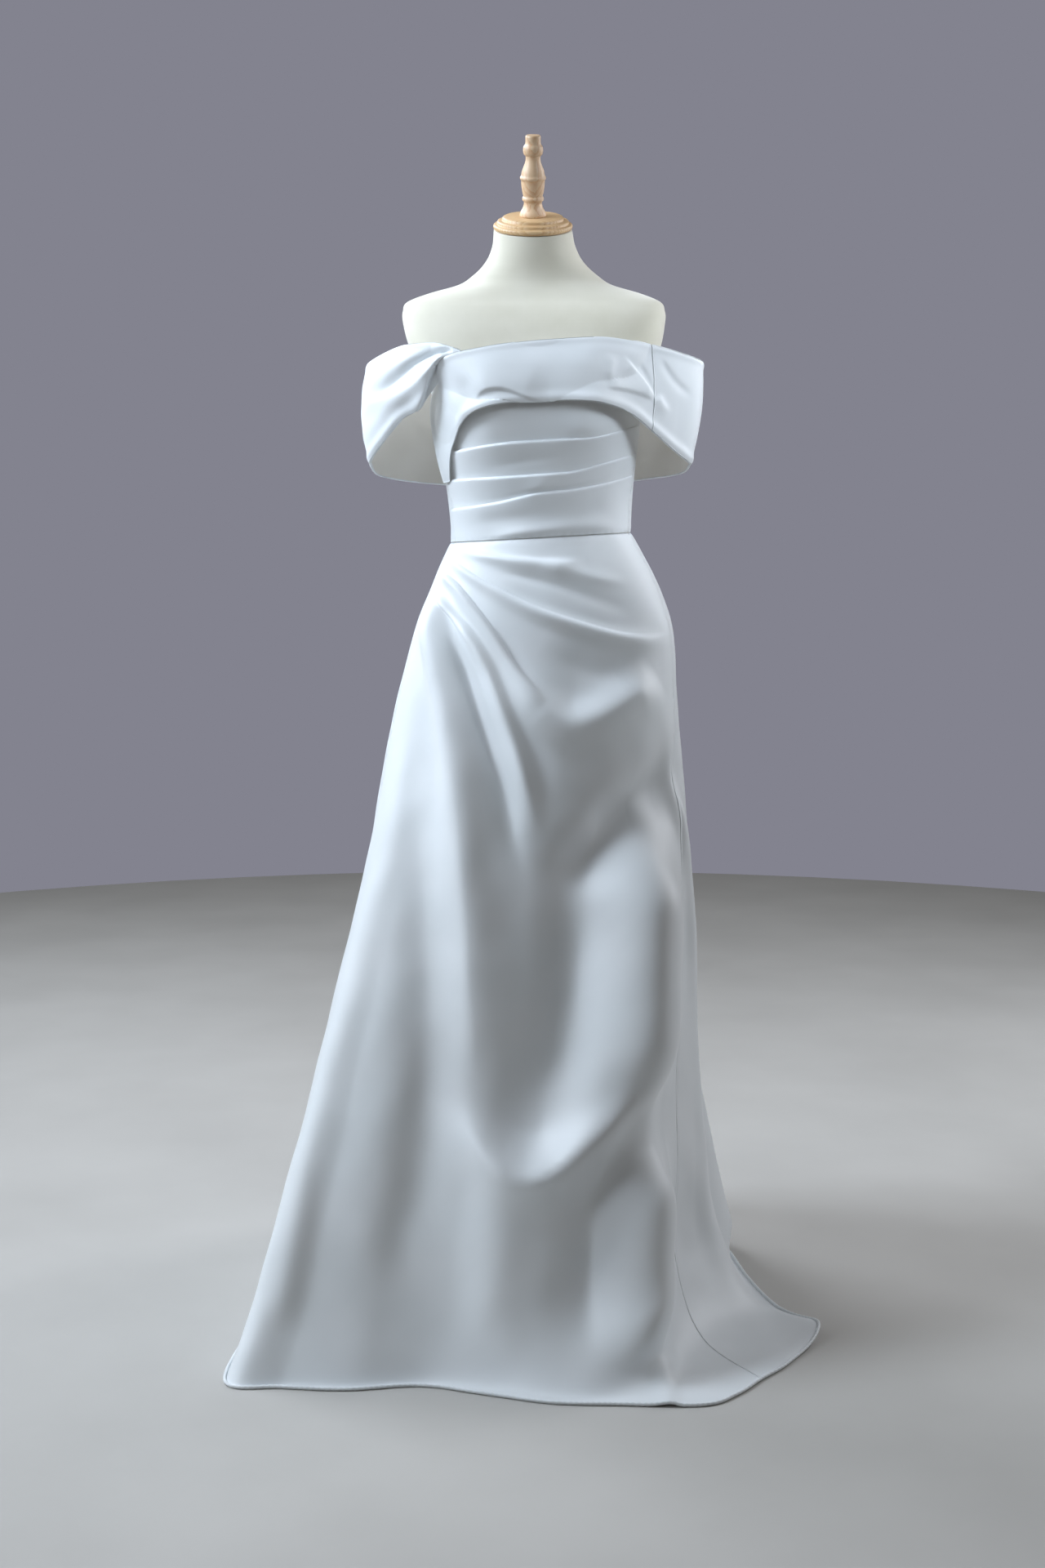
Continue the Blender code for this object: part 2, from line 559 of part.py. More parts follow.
def build_neck(group, oak, beech):
    """The stepped cap and the turned finial, both square to the leaning neck."""
    axis = Vector((0.0, -math.sin(NECK_LEAN), math.cos(NECK_LEAN)))
    cap = turned("neck_cap", CAP_PROFILE, CAP_STEPS, group, oak)
    cap.location = CAP_CENTRE + axis * SEAM_GAP
    cap.rotation_euler.x = NECK_LEAN
    cap_top = CAP_PROFILE[0][1]
    profile = [(radius, height * FINIAL_HEIGHT) for radius, height in FINIAL_PROFILE]
    finial = turned("neck_finial", profile, FINIAL_STEPS, group, beech)
    finial.location = CAP_CENTRE + axis * (cap_top + 2.0 * SEAM_GAP)
    finial.rotation_euler.x = NECK_LEAN


def build_stand(group, steel):
    """A round base on the floor and the pole that carries the form."""
    base_profile = ((0.0, BASE_THICKNESS), (BASE_RADIUS - BASE_RIM, BASE_THICKNESS),
                    (BASE_RADIUS, BASE_THICKNESS - BASE_RIM), (BASE_RADIUS, 0.0), (0.0, 0.0))
    turned("stand_base", base_profile, BASE_STEPS, group, steel)
    pole_bottom = BASE_THICKNESS + SEAM_GAP
    pole_top = FORM_SECTIONS[0].height - SEAM_GAP
    bpy.ops.mesh.primitive_cylinder_add(vertices=POLE_STEPS, radius=POLE_RADIUS, depth=pole_top - pole_bottom,
                                        location=(0.0, 0.0, (pole_top + pole_bottom) / 2.0))
    pole = bpy.context.object
    pole.name = "stand_pole"
    pole.data.name = "stand_pole"
    pole.data.materials.append(steel)
    for holder in list(pole.users_collection):
        holder.objects.unlink(pole)
    group.objects.link(pole)
    shade(pole.data)


# ---------------------------------------------------------------- bodice

def waist_height(x):
    """Height of the waist seam."""
    return WAIST_HEIGHT + WAIST_SLOPE * x


def bodice_top(angle):
    """Height of the bodice's upper edge, lower under the arms."""
    return BODICE_TOP - BODICE_TOP_DIP * np.cos(np.radians(angle)) ** 4


def pleat_height(pleat, x):
    """Height of a pleat's edge across the front."""
    path = np.array(pleat.path)
    return through(path[:, 0], path[:, 1], x)


def bodice_relief(x, z):
    """How far the pleats stand out: a sharp upper edge, fading downwards, softer towards +X."""
    relief = 0.0 * x
    for pleat in BODICE_PLEATS:
        above = z - pleat_height(pleat, x)
        width = np.where(above > 0, PLEAT_LIP / 2.0, PLEAT_FALL)
        fade = 1.0 - PLEAT_FADE_SHARE * smoothstep((x - PLEAT_FADE_START) / PLEAT_FADE_RUN)
        relief = relief + pleat.rise * fade * np.exp(-(above / width) ** 2)
    return relief


def bodice_rows(angle, front):
    """Heights of the bodice's rows at one angle, from the waist up."""
    x = float(torso_point(angle, WAIST_HEIGHT, WALL)[0])
    bottom = waist_height(x) + SEAM_GAP / 2.0
    top = float(bodice_top(angle))
    if not front:
        return np.linspace(bottom, top, BODICE_BACK_ROWS)
    rows = [bottom]
    for pleat in BODICE_PLEATS:
        edge = float(pleat_height(pleat, float(torso_point(angle, pleat.path[2][1], WALL)[0])))
        rows += list(np.linspace(rows[-1], edge, 3)[1:])
        rows.append(edge + PLEAT_LIP)
    rows += list(np.linspace(rows[-1], top, 6)[1:])
    return np.array(rows)


def build_bodice_panel(name, start, end, spacing, group, satin):
    """One bodice panel between two angles; its columns share the form's, or halve them."""
    front = name == "bodice_front"
    shared = np.arange(math.ceil(start / spacing) * spacing, end, spacing)
    inside = shared[(shared > start + 0.3 * spacing) & (shared < end - 0.3 * spacing)]
    angles = np.concatenate([[start], inside, [end]])
    heights = np.stack([bodice_rows(angle, front) for angle in angles], axis=1)[::-1]
    spread = np.broadcast_to(angles, heights.shape)
    walls = []
    for outset in (FORM_CLEARANCE, FORM_CLEARANCE + WALL):
        x, y = torso_point(spread, heights, outset)
        if front:
            radians = np.radians(spread)
            relief = bodice_relief(x, heights)
            x = x + relief * np.cos(radians)
            y = y + relief * np.sin(radians)
        walls.append(pull_in_edges(np.stack([x, y, heights], axis=-1), SEAM_GAP))
    cloth_wall(name, walls[0], walls[1], group, satin)


def build_bodice(group, satin):
    """Front, left side and two backs."""
    build_bodice_panel("bodice_front", SIDE_FRONT_LEFT, SIDE_RIGHT, FORM_STEP / 2.0, group, satin)
    build_bodice_panel("bodice_side_left", SIDE_BACK_LEFT - 360.0, SIDE_FRONT_LEFT, FORM_STEP, group, satin)
    build_bodice_panel("bodice_back_right", SIDE_RIGHT, CENTRE_BACK, FORM_STEP, group, satin)
    build_bodice_panel("bodice_back_left", CENTRE_BACK, SIDE_BACK_LEFT, FORM_STEP, group, satin)


# ---------------------------------------------------------------- skirt

def ring_point(ring, angle):
    """Point on one of the skirt's level rings."""
    radians = np.radians(angle)
    depth = np.where(np.sin(radians) < 0, ring.front, ring.back)
    return ring.centre + ring.half_width * np.cos(radians), depth * np.sin(radians)


def fall_knots(fall):
    """One line of the fall: its points from the waist to the hem."""
    angles = through((0.0, HIP_STEP), (fall.waist_angle, fall.hip_angle), FALL_STEPS[:len(SKIRT_RINGS) + 1])
    x, y = torso_point(angles[0], WAIST_HEIGHT, FORM_CLEARANCE)
    x, y = torso_point(angles[0], waist_height(float(x)), FORM_CLEARANCE)
    points = [(float(x), float(y), waist_height(float(x)) - SEAM_GAP / 2.0)]
    for ring, angle in zip(SKIRT_RINGS, angles[1:]):
        x, y = ring_point(ring, angle)
        points.append((float(x), float(y), ring.height))
    hip_x, hip_y, hip_z = points[-1]
    for height in FALL_HEIGHTS:
        part = ((hip_z - height) / hip_z) ** fall.flare
        swell = fall.swell * math.exp(-((height - SWELL_HEIGHT) / SWELL_SPREAD) ** 2)
        x = hip_x + (fall.foot_x - hip_x) * part + swell * math.cos(math.radians(fall.hip_angle))
        y = hip_y + (fall.foot_y - hip_y) * part + swell * math.sin(math.radians(fall.hip_angle))
        points.append((x, y, height))
    points.append((fall.foot_x + FLOOR_ROUNDING * (fall.hem_x - fall.foot_x),
                   fall.foot_y + FLOOR_ROUNDING * (fall.hem_y - fall.foot_y), FLOOR_ROUNDING_HEIGHT))
    points.append((fall.hem_x, fall.hem_y, 0.0))
    return points


def skirt_net():
    """All lines of the fall, repeated past both ends so that the skirt closes."""
    net = np.array([fall_knots(fall) for fall in FALLS])
    return np.concatenate([net[-3:], net, net[:3]])


NET = skirt_net()


def skirt_surface(lines, steps):
    """Inner face of the skirt: `lines` counts the falls, `steps` runs from waist 0 to hem 1."""
    low = np.floor(lines).astype(int)
    part = lines - low
    total = 0.0
    weights = (
        -0.5 * part + part ** 2 - 0.5 * part ** 3,
        1.0 - 2.5 * part ** 2 + 1.5 * part ** 3,
        0.5 * part + 2.0 * part ** 2 - 1.5 * part ** 3,
        -0.5 * part ** 2 + 0.5 * part ** 3,
    )
    knots = np.asarray(FALL_STEPS)
    slopes = np.gradient(NET, knots, axis=1)
    steps = np.asarray(steps, float)
    held = np.clip(steps, 0.0, 1.0)
    index = np.clip(np.searchsorted(knots, held, side="right") - 1, 0, len(knots) - 2)
    width = knots[index + 1] - knots[index]
    run = ((steps - knots[index]) / width)[..., None]
    width = width[..., None]
    for number, weight in enumerate(weights):
        line = np.clip(low + number - 1 + 3, 0, len(NET) - 1)
        start = NET[line, index]
        end = NET[line, index + 1]
        start_slope = slopes[line, index] * width
        end_slope = slopes[line, index + 1] * width
        square = run * run
        cube = square * run
        value = start * (2 * cube - 3 * square + 1) + start_slope * (cube - 2 * square + run)
        value = value + end * (3 * square - 2 * cube) + end_slope * (cube - square)
        total = total + weight[..., None] * value
    total[..., 2] = np.maximum(total[..., 2], 0.0)
    return total


def fall_relief(lines, steps):
    """Soft folds that open towards the hem."""
    relief = 0.0 * lines
    closing = 1.0 - FOLD_CLOSE_SHARE * smoothstep((steps - FOLD_CLOSE_STEP) / (1.0 - FOLD_CLOSE_STEP))
    for fold in FALL_FOLDS:
        opened = smoothstep((steps - fold.start) / (FOLD_OPEN_STEP - fold.start)) * closing
        relief = relief + fold.depth * opened * np.exp(-((lines - fold.at) / fold.half_width) ** 2)
    return relief


def skirt_folded(lines, steps):
    """Inner face of the skirt with its folds, pleats and swags."""
    base = skirt_surface(lines, steps)
    level = smoothstep(steps / WAIST_SETTLE)
    outward = surface_normals(skirt_surface, lines, np.clip(steps, EDGE_MARGIN, 1.0 - EDGE_MARGIN), 1.0)
    facing = smoothstep(-outward[..., 1] / 0.5)
    rooted = ROOT_START + (1.0 - ROOT_START) * smoothstep(lines / ROOT_LINES)
    front = facing * rooted * (lines < FALL_NAMES.index("seam_right") + 0.5)
    relief = fall_relief(lines, steps)
    relief = relief + front * crease_relief(SKIRT_CREASES, base[..., 0], base[..., 2])
    floor_free = smoothstep(base[..., 2] / CREASE_FLOOR)
    folded = base + outward * (relief * level * floor_free)[..., None]
    folded[..., 2] = np.maximum(folded[..., 2], 0.0)
    return folded


def build_skirt_panel(name, start, end, columns, rows, group, satin):
    """One skirt panel between two lines of the fall."""
    lines, steps = np.meshgrid(np.linspace(start, end, columns), rows)
    inner = skirt_folded(lines, steps)
    level = smoothstep(steps / WAIST_SETTLE)
    normals = surface_normals(skirt_folded, lines, np.clip(steps, EDGE_MARGIN, 1.0 - EDGE_MARGIN), level)
    outer = inner + normals * WALL
    outer[..., 2] = np.maximum(outer[..., 2], 0.0)
    cloth_wall(name, pull_in_edges(inner, SEAM_GAP), pull_in_edges(outer, SEAM_GAP), group, satin)


def build_skirt(group, satin):
    """Front with the pleats, and two backs."""
    seam_right = FALL_NAMES.index("seam_right")
    seam_back = FALL_NAMES.index("seam_back")
    rows = np.concatenate([np.linspace(*span) for span in SKIRT_ROWS])
    build_skirt_panel("skirt_front", 0.0, seam_right, SKIRT_FRONT_COLUMNS, rows, group, satin)
    build_skirt_panel("skirt_back_right", seam_right, seam_back, SKIRT_BACK_RIGHT_COLUMNS, rows, group, satin)
    build_skirt_panel("skirt_back_left", seam_back, len(FALLS), SKIRT_BACK_LEFT_COLUMNS, rows, group, satin)


# ---------------------------------------------------------------- collar

def reached(stretch, columns):
    """0 before a stretch of stations, easing to 1 at its end."""
    return smoothstep((columns - stretch.start) / (stretch.full - stretch.start))


def band_surface(band, lift):
    """A surface function of a band: columns run along it, rows from its upper edge 0 to its lower edge 1."""
    stations = np.arange(len(band))
    lower = np.array([row.lower for row in band])
    upper = np.array([row.upper for row in band])
    belly = np.array([row.belly for row in band])

    def surface(columns, rows):
        low = through(stations, lower, columns)
        high = through(stations, upper, columns)
        stand = through(stations, belly, columns)
        part = rows[..., None]
        points = high * (1.0 - part) + low * part
        centre = section_at(points[..., 2]).centre
        outward = np.stack([points[..., 0] - centre, points[..., 1], 0.0 * centre], axis=-1)
        outward /= np.linalg.norm(outward, axis=-1, keepdims=True)
        over_bodice = smoothstep((BODICE_CLEAR_HEIGHT - points[..., 2]) / BODICE_CLEAR_BLEND)
        outset = FORM_CLEARANCE + over_bodice * (WALL + COLLAR_CLEARANCE) + lift(columns, rows)
        points = keep_outside(points, outset)
        swell = stand * 4.0 * rows * (1.0 - rows)
        if band is TWIST_BAND:
            opened = reached(TWIST_FOLDS_OPEN, columns) * (1.0 - reached(TWIST_FOLDS_CLOSE, columns))
            for place in TWIST_FOLDS:
                swell = swell + TWIST_FOLD_RISE * opened * np.exp(-((rows - place) / TWIST_FOLD_WIDTH) ** 2)
        return points + outward * swell[..., None]
    return surface


def front_lift(columns, rows):
    """The front band stands off the pleats below it and passes over the twist's end."""
    over_twist = np.exp(-((columns - TUCK_STATION) / TUCK_SPREAD) ** 2)
    over_chest = reached(CHEST_LIFT_OPEN, columns) * (1.0 - reached(CHEST_LIFT_CLOSE, columns))
    return CHEST_LIFT * over_chest + TUCK_DEPTH * over_twist * (1.0 - 0.5 * rows)


def twist_lift(columns, rows):
    """The twist's end lies over the form and under the front band."""
    return TWIST_LIFT * (1.0 - reached(TWIST_LIFT_CLOSE, columns)) + 0.0 * rows


def build_band_length(name, band, start, end, grid, lift, group, satin):
    """One length of the collar between two stations; `grid` counts its columns and rows."""
    surface = band_surface(band, lift)
    along, across = np.meshgrid(np.linspace(start, end, grid[0]), np.linspace(0.0, 1.0, grid[1]))
    inner = surface(along, across)
    held_along = np.clip(along, EDGE_MARGIN, len(band) - 1.0 - EDGE_MARGIN)
    held_across = np.clip(across, EDGE_MARGIN, 1.0 - EDGE_MARGIN)
    normals = surface_normals(surface, held_along, held_across, 1.0)
    outer = inner + normals * COLLAR_WALL
    cloth_wall(name, pull_in_edges(inner, SEAM_GAP), pull_in_edges(outer, SEAM_GAP), group, satin)


def build_collar(group, satin):
    """The front band, the length round the right arm and the twisted length round the left."""
    seam = FRONT_SEAM
    end = len(FRONT_BAND) - 1
    twist_end = len(TWIST_BAND) - 1
    build_band_length("collar_front", FRONT_BAND, 0, seam, COLLAR_FRONT_GRID, front_lift, group, satin)
    build_band_length("collar_right", FRONT_BAND, seam, end, COLLAR_RIGHT_GRID, front_lift, group, satin)
    build_band_length("collar_left", TWIST_BAND, 0, twist_end, COLLAR_LEFT_GRID, twist_lift, group, satin)


# ---------------------------------------------------------------- zip

def add_block(name, centre, size, group):
    """A rectangular block."""
    bpy.ops.mesh.primitive_cube_add(size=1.0, location=centre)
    block = bpy.context.object
    block.name = name
    block.data.name = name
    block.data.transform(Matrix.Diagonal((*size, 1.0)))
    for holder in list(block.users_collection):
        holder.objects.unlink(block)
    group.objects.link(block)
    return block


def combine(piece, other, operation):
    """Join or cut a piece with a helper, which stays out of the build."""
    modifier = piece.modifiers.new(other.name, "BOOLEAN")
    modifier.operation = operation
    modifier.object = other
    other.hide_render = True
    other.display_type = "WIRE"


def build_zip(group, helpers, nickel):
    """The slider at the top of the centre-back closing, and the pull that hangs from its bail."""
    x = float(section_at(ZIP_TOP).centre)
    last = len(FRONT_BAND) - 1.0
    stations, rows = np.meshgrid(np.linspace(last - 0.15, last, 4), np.linspace(0.0, 0.16, 5))
    cloth = band_surface(FRONT_BAND, front_lift)(stations, rows)
    face = float(cloth[..., 1].max()) + COLLAR_WALL + SEAM_GAP
    middle = Vector((x, face + SLIDER.y / 2.0, ZIP_TOP))
    slider = add_block("zip_slider", middle, SLIDER, group)
    slider.data.materials.append(nickel)
    opening_y = face + SLIDER.y + BAIL_OPENING / 2.0
    outer = BAIL_OPENING + 2.0 * BAIL_WALL
    bail_middle = (x, opening_y - SLIDER.y / 4.0, ZIP_TOP)
    bail = add_block("helper_bail", bail_middle, (BAIL_WIDTH, outer + SLIDER.y / 2.0, outer), helpers)
    hole_size = (2.0 * SLIDER.x, BAIL_OPENING, BAIL_OPENING)
    hole = add_block("helper_bail_hole", (x, opening_y, ZIP_TOP), hole_size, helpers)
    combine(slider, bail, "UNION")
    combine(slider, hole, "DIFFERENCE")
    hinge = Vector((x, opening_y, ZIP_TOP - BAIL_OPENING / 2.0 + PULL_BAR / 2.0 + PULL_SEAT))
    pull_middle = Vector((0.0, 0.0, PULL_BAR / 2.0 - PULL.z / 2.0))
    pull = add_block("zip_pull", (0.0, 0.0, 0.0), PULL, group)
    pull.data.transform(Matrix.Translation(pull_middle))
    pull.location = hinge
    pull.data.materials.append(nickel)
    window_middle = hinge - Vector((0.0, 0.0, PULL_BAR / 2.0 + PULL_WINDOW.z / 2.0))
    window = add_block("helper_window", window_middle, (PULL_WINDOW.x, 3.0 * PULL.y, PULL_WINDOW.z), helpers)
    combine(pull, window, "DIFFERENCE")


# ---------------------------------------------------------------- assembly

def main():
    """Clear the scene and build the dress on its form."""
    for leftover in list(bpy.data.objects):
        bpy.data.objects.remove(leftover, do_unlink=True)
    group = collection_of("wedding_dress_on_form")
    satin = material_of("white_satin", (0.80, 0.82, 0.84), 0.38)
    jersey = material_of("cream_jersey", (0.72, 0.70, 0.62), 0.85)
    oak = material_of("oiled_oak", (0.62, 0.40, 0.23), 0.45)
    beech = material_of("turned_beech", (0.64, 0.43, 0.26), 0.40)
    steel = material_of("painted_steel", (0.75, 0.75, 0.74), 0.35, 0.6)
    build_form(group, jersey)
    build_neck(group, oak, beech)
    build_stand(group, steel)
    build_bodice(group, satin)
    build_skirt(group, satin)
    build_collar(group, satin)
    build_zip(group, collection_of("helpers"), material_of("white_lacquered_zinc", (0.82, 0.82, 0.82), 0.3))


main()
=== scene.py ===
"""Looks of an off-the-shoulder satin wedding dress on its limbless dress form.

Metres, +Z up. The dress faces -Y, and `left` and `right` are the onlooker's. Angles run round the body:
-90 is the front, 0 is +X, 90 is the back, 180 is -X.
"""
from __future__ import annotations

import json
import logging
import math
from collections.abc import Callable, Iterable, Sequence
from dataclasses import dataclass, field
from enum import Enum
from typing import NamedTuple

import bpy
import numpy as np
from mathutils import Matrix, Vector

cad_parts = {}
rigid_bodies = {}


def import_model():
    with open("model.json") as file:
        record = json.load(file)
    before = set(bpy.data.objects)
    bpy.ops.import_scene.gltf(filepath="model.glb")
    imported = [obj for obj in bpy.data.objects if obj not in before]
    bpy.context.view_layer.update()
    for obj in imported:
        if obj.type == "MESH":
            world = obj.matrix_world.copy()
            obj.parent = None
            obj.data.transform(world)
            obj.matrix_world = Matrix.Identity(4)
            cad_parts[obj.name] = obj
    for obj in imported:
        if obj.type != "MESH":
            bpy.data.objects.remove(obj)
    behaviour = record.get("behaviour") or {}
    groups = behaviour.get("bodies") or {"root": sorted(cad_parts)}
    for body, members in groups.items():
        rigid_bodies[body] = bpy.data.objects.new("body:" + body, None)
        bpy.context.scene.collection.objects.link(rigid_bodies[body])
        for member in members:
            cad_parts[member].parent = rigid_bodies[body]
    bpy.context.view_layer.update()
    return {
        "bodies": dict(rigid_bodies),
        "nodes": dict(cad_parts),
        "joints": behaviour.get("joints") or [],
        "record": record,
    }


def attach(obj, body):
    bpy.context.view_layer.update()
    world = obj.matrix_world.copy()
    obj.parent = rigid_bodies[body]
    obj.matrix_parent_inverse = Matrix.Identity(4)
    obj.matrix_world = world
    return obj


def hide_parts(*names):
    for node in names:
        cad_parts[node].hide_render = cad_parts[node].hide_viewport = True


log = logging.getLogger("wedding_dress")

BODY = "dress_on_form"
MM = 0.001

Grid = np.ndarray
Surface = Callable[[Grid, Grid], Grid]
Piece = bpy.types.Object
Finish = bpy.types.Material
Tree = bpy.types.NodeTree
Place = tuple[float, float, float]
Path = tuple[tuple[float, float], ...]
Spans = tuple[tuple[float, float, int], ...]


# ---------------- shared sizes

WALL = 0.0016                  # satin with its backing
COLLAR_WALL = 0.0024           # the collar is folded double
SEAT_GAP = 0.0003              # under each turned piece of the neck
FORM_CLEARANCE = 0.0014        # bodice to form
COLLAR_CLEARANCE = 0.0008      # collar to bodice

SIDE_FRONT_LEFT = -163.0
SIDE_RIGHT = -14.0
CENTRE_BACK = 90.0
SIDE_BACK_LEFT = 163.0

WAIST = 1.1105                 # height of the waist seam in the middle
WAIST_CLIMB = 0.055            # for each metre towards +X

NEARLY_ZERO = 1e-12


class Section(NamedTuple):
    """One level cut through the dress form."""

    height: float
    centre: float
    half_width: float
    front: float
    back: float
    squareness: float


FORM_SECTIONS = (
    Section(0.850, 0.0080, 0.118, 0.084, 0.090, 2.0),
    Section(0.862, 0.0080, 0.150, 0.108, 0.116, 2.0),
    Section(0.900, 0.0085, 0.164, 0.117, 0.128, 2.0),
    Section(0.960, 0.0100, 0.163, 0.112, 0.124, 2.0),
    Section(1.030, 0.0115, 0.147, 0.103, 0.106, 2.0),
    Section(1.110, 0.0115, 0.1259, 0.0975, 0.0865, 2.0),
    Section(1.166, 0.0100, 0.1284, 0.1010, 0.0885, 2.0),
    Section(1.220, 0.0085, 0.1352, 0.1110, 0.0935, 2.1),
    Section(1.270, 0.0075, 0.1415, 0.1210, 0.0975, 2.2),
    Section(1.305, 0.0070, 0.1450, 0.1220, 0.0995, 2.3),
    Section(1.340, 0.0050, 0.1600, 0.1170, 0.1005, 2.6),
    Section(1.370, 0.0030, 0.1745, 0.1080, 0.1000, 3.0),
    Section(1.400, 0.0015, 0.1825, 0.0960, 0.0960, 3.2),
    Section(1.425, 0.0010, 0.1840, 0.0800, 0.0850, 3.2),
    Section(1.437, 0.0010, 0.1790, 0.0700, 0.0760, 3.0),
    Section(1.449, 0.0020, 0.1520, 0.0630, 0.0690, 2.4),
    Section(1.462, 0.0030, 0.1090, 0.0580, 0.0640, 2.1),
    Section(1.476, 0.0030, 0.0870, 0.0550, 0.0600, 2.0),
    Section(1.492, 0.0020, 0.0700, 0.0530, 0.0570, 2.0),
    Section(1.512, 0.0010, 0.0590, 0.0520, 0.0540, 2.0),
    Section(1.5372, -0.0005, 0.0545, 0.0515, 0.0515, 2.0),
)


# ---------------- curves and grids

def smoothstep(value: Grid | float) -> Grid:
    """Ease from 0 to 1.

    Args:
        value: where to read the ease; held between 0 and 1.

    Returns:
        The eased value.
    """
    value = np.clip(value, 0.0, 1.0)
    return value * value * (3.0 - 2.0 * value)


def bell(value: Grid | float, width: Grid | float) -> Grid:
    """A smooth bump, 1 in the middle and gone past about twice its width."""
    return np.exp(-(value / width) ** 2)


def ease_between(start: Grid, start_slope: Grid, end: Grid, end_slope: Grid, part: Grid) -> Grid:
    """Cubic between two values with given slopes.

    Args:
        start: the value at the start.
        start_slope: its slope there, over the whole step.
        end: the value at the end.
        end_slope: its slope there, over the whole step.
        part: where it is read, from 0 to 1.

    Returns:
        The cubic's values.
    """
    square = part * part
    cube = square * part
    leaving = start * (2 * cube - 3 * square + 1) + start_slope * (cube - 2 * square + part)
    return leaving + (end * (3 * square - 2 * cube) + end_slope * (cube - square))


def through(knots: Sequence[float], values: Grid, at: Grid | float) -> Grid:
    """Smooth curve through values at their knots.

    Args:
        knots: increasing places of the values.
        values: one value or one row of values for each knot.
        at: where the curve is read.

    Returns:
        The curve's values at those places.
    """
    knots = np.asarray(knots, float)
    values = np.asarray(values, float)
    slopes = np.gradient(values, knots, axis=0)
    at = np.clip(np.asarray(at, float), knots[0], knots[-1])
    index = np.clip(np.searchsorted(knots, at, side="right") - 1, 0, len(knots) - 2)
    step = knots[index + 1] - knots[index]
    part = (at - knots[index]) / step
    if values.ndim > 1:
        step = step[..., None]
        part = part[..., None]
    after = index + 1
    return ease_between(values[index], slopes[index] * step, values[after], slopes[after] * step, part)


def closer_at_ends(count: int) -> Grid:
    """Shares from 0 to 1 that lie closer together towards both ends."""
    return 0.5 - 0.5 * np.cos(np.pi * np.linspace(0.0, 1.0, count))


def lengths_of(points: Grid, axis: int) -> Grid:
    """Length run along a grid from 0: down it on axis 0, across it on axis 1."""
    steps = np.linalg.norm(np.diff(points, axis=axis), axis=-1)
    lead = [(0, 0), (0, 0)]
    lead[axis] = (1, 0)
    return np.cumsum(np.pad(steps, lead), axis=axis)


def unit(vectors: Grid) -> Grid:
    """Vectors of length 1."""
    return vectors / np.maximum(np.linalg.norm(vectors, axis=-1, keepdims=True), NEARLY_ZERO)


def grid_normals(points: Grid) -> Grid:
    """Unit normals of a grid of points whose rows run down it."""
    return unit(np.cross(np.gradient(points, axis=0), np.gradient(points, axis=1)))


def surface_normals(surface: Surface, columns: Grid, rows: Grid) -> Grid:
    """Unit normals of a surface function.

    Args:
        surface: gives points for columns and rows.
        columns: where to read it across.
        rows: where to read it down.

    Returns:
        One normal for each place.
    """
    step = 1e-3
    across = surface(columns + step, rows) - surface(columns - step, rows)
    down = surface(columns, rows + step) - surface(columns, rows - step)
    return unit(np.cross(down, across))


@dataclass(frozen=True)
class Unevenness:
    """A soft, irregular rise and fall that is the same wherever two pieces meet."""

    seed: int
    wavelength: float              # typical distance between two swells
    amount: float                  # typical height
    waves: int = 7
    upright: float = 0.55          # below 1 the swells run up and down more than across
    spread: tuple[float, float] = (0.7, 1.6)

    def height(self, points: Grid) -> Grid:
        """How far the cloth stands out.

        Args:
            points: where it is read.

        Returns:
            One height for each point.
        """
        random = np.random.default_rng(self.seed)
        total = np.zeros(points.shape[:-1])
        for _ in range(self.waves):
            direction = unit(random.normal(size=3) * (1.0, 1.0, self.upright))
            pace = 2.0 * math.pi / (self.wavelength * random.uniform(*self.spread))
            total += np.sin(points @ direction * pace + random.uniform(0.0, 2.0 * math.pi))
        return self.amount * total / math.sqrt(self.waves)


# ---------------- creases

class View(Enum):
    """Which way a crease's path is drawn: the axis across, the axis faced and its sign."""

    FRONT = (0, 1, -1.0)
    BACK = (0, 1, 1.0)
    LEFT = (1, 0, -1.0)
    RIGHT = (1, 0, 1.0)


class Profile(Enum):
    """How a crease rises across its path."""

    RIDGE = "soft on both sides"
    LIP_ABOVE = "a folded edge that drops off above the path"
    LIP_BELOW = "a folded edge that drops off below the path"


METRE = 1000.0                 # pleats, creases, swells and the collar's bands are laid out in millimetres
CREASE_REACH = 3.0             # in widths: past this a crease is gone
PATH_STEPS = 6                 # smooth steps between two points of a path
FACING_SPAN = 0.5              # a crease fades where the cloth turns away from its view


@dataclass(frozen=True, kw_only=True)
class Mark:
    """A rise or dip in the cloth, laid along a path in one view."""

    fades: tuple[float, float] = (0.40, 0.40)      # shares of the path over which it comes and goes
    view: View = View.FRONT

    def fade(self, along: Grid) -> Grid:
        """What is left of the rise near both ends of the path."""
        start, end = self.fades
        return smoothstep(along / start) * smoothstep((1.0 - along) / end)

    def smooth_path(self) -> Grid:
        """The path's points in metres, with smooth steps between those laid by hand."""
        last = len(self.path) - 1
        knots = np.linspace(0.0, 1.0, last + 1)
        return through(knots, np.array(self.path) / METRE, np.linspace(0.0, 1.0, PATH_STEPS * last + 1))


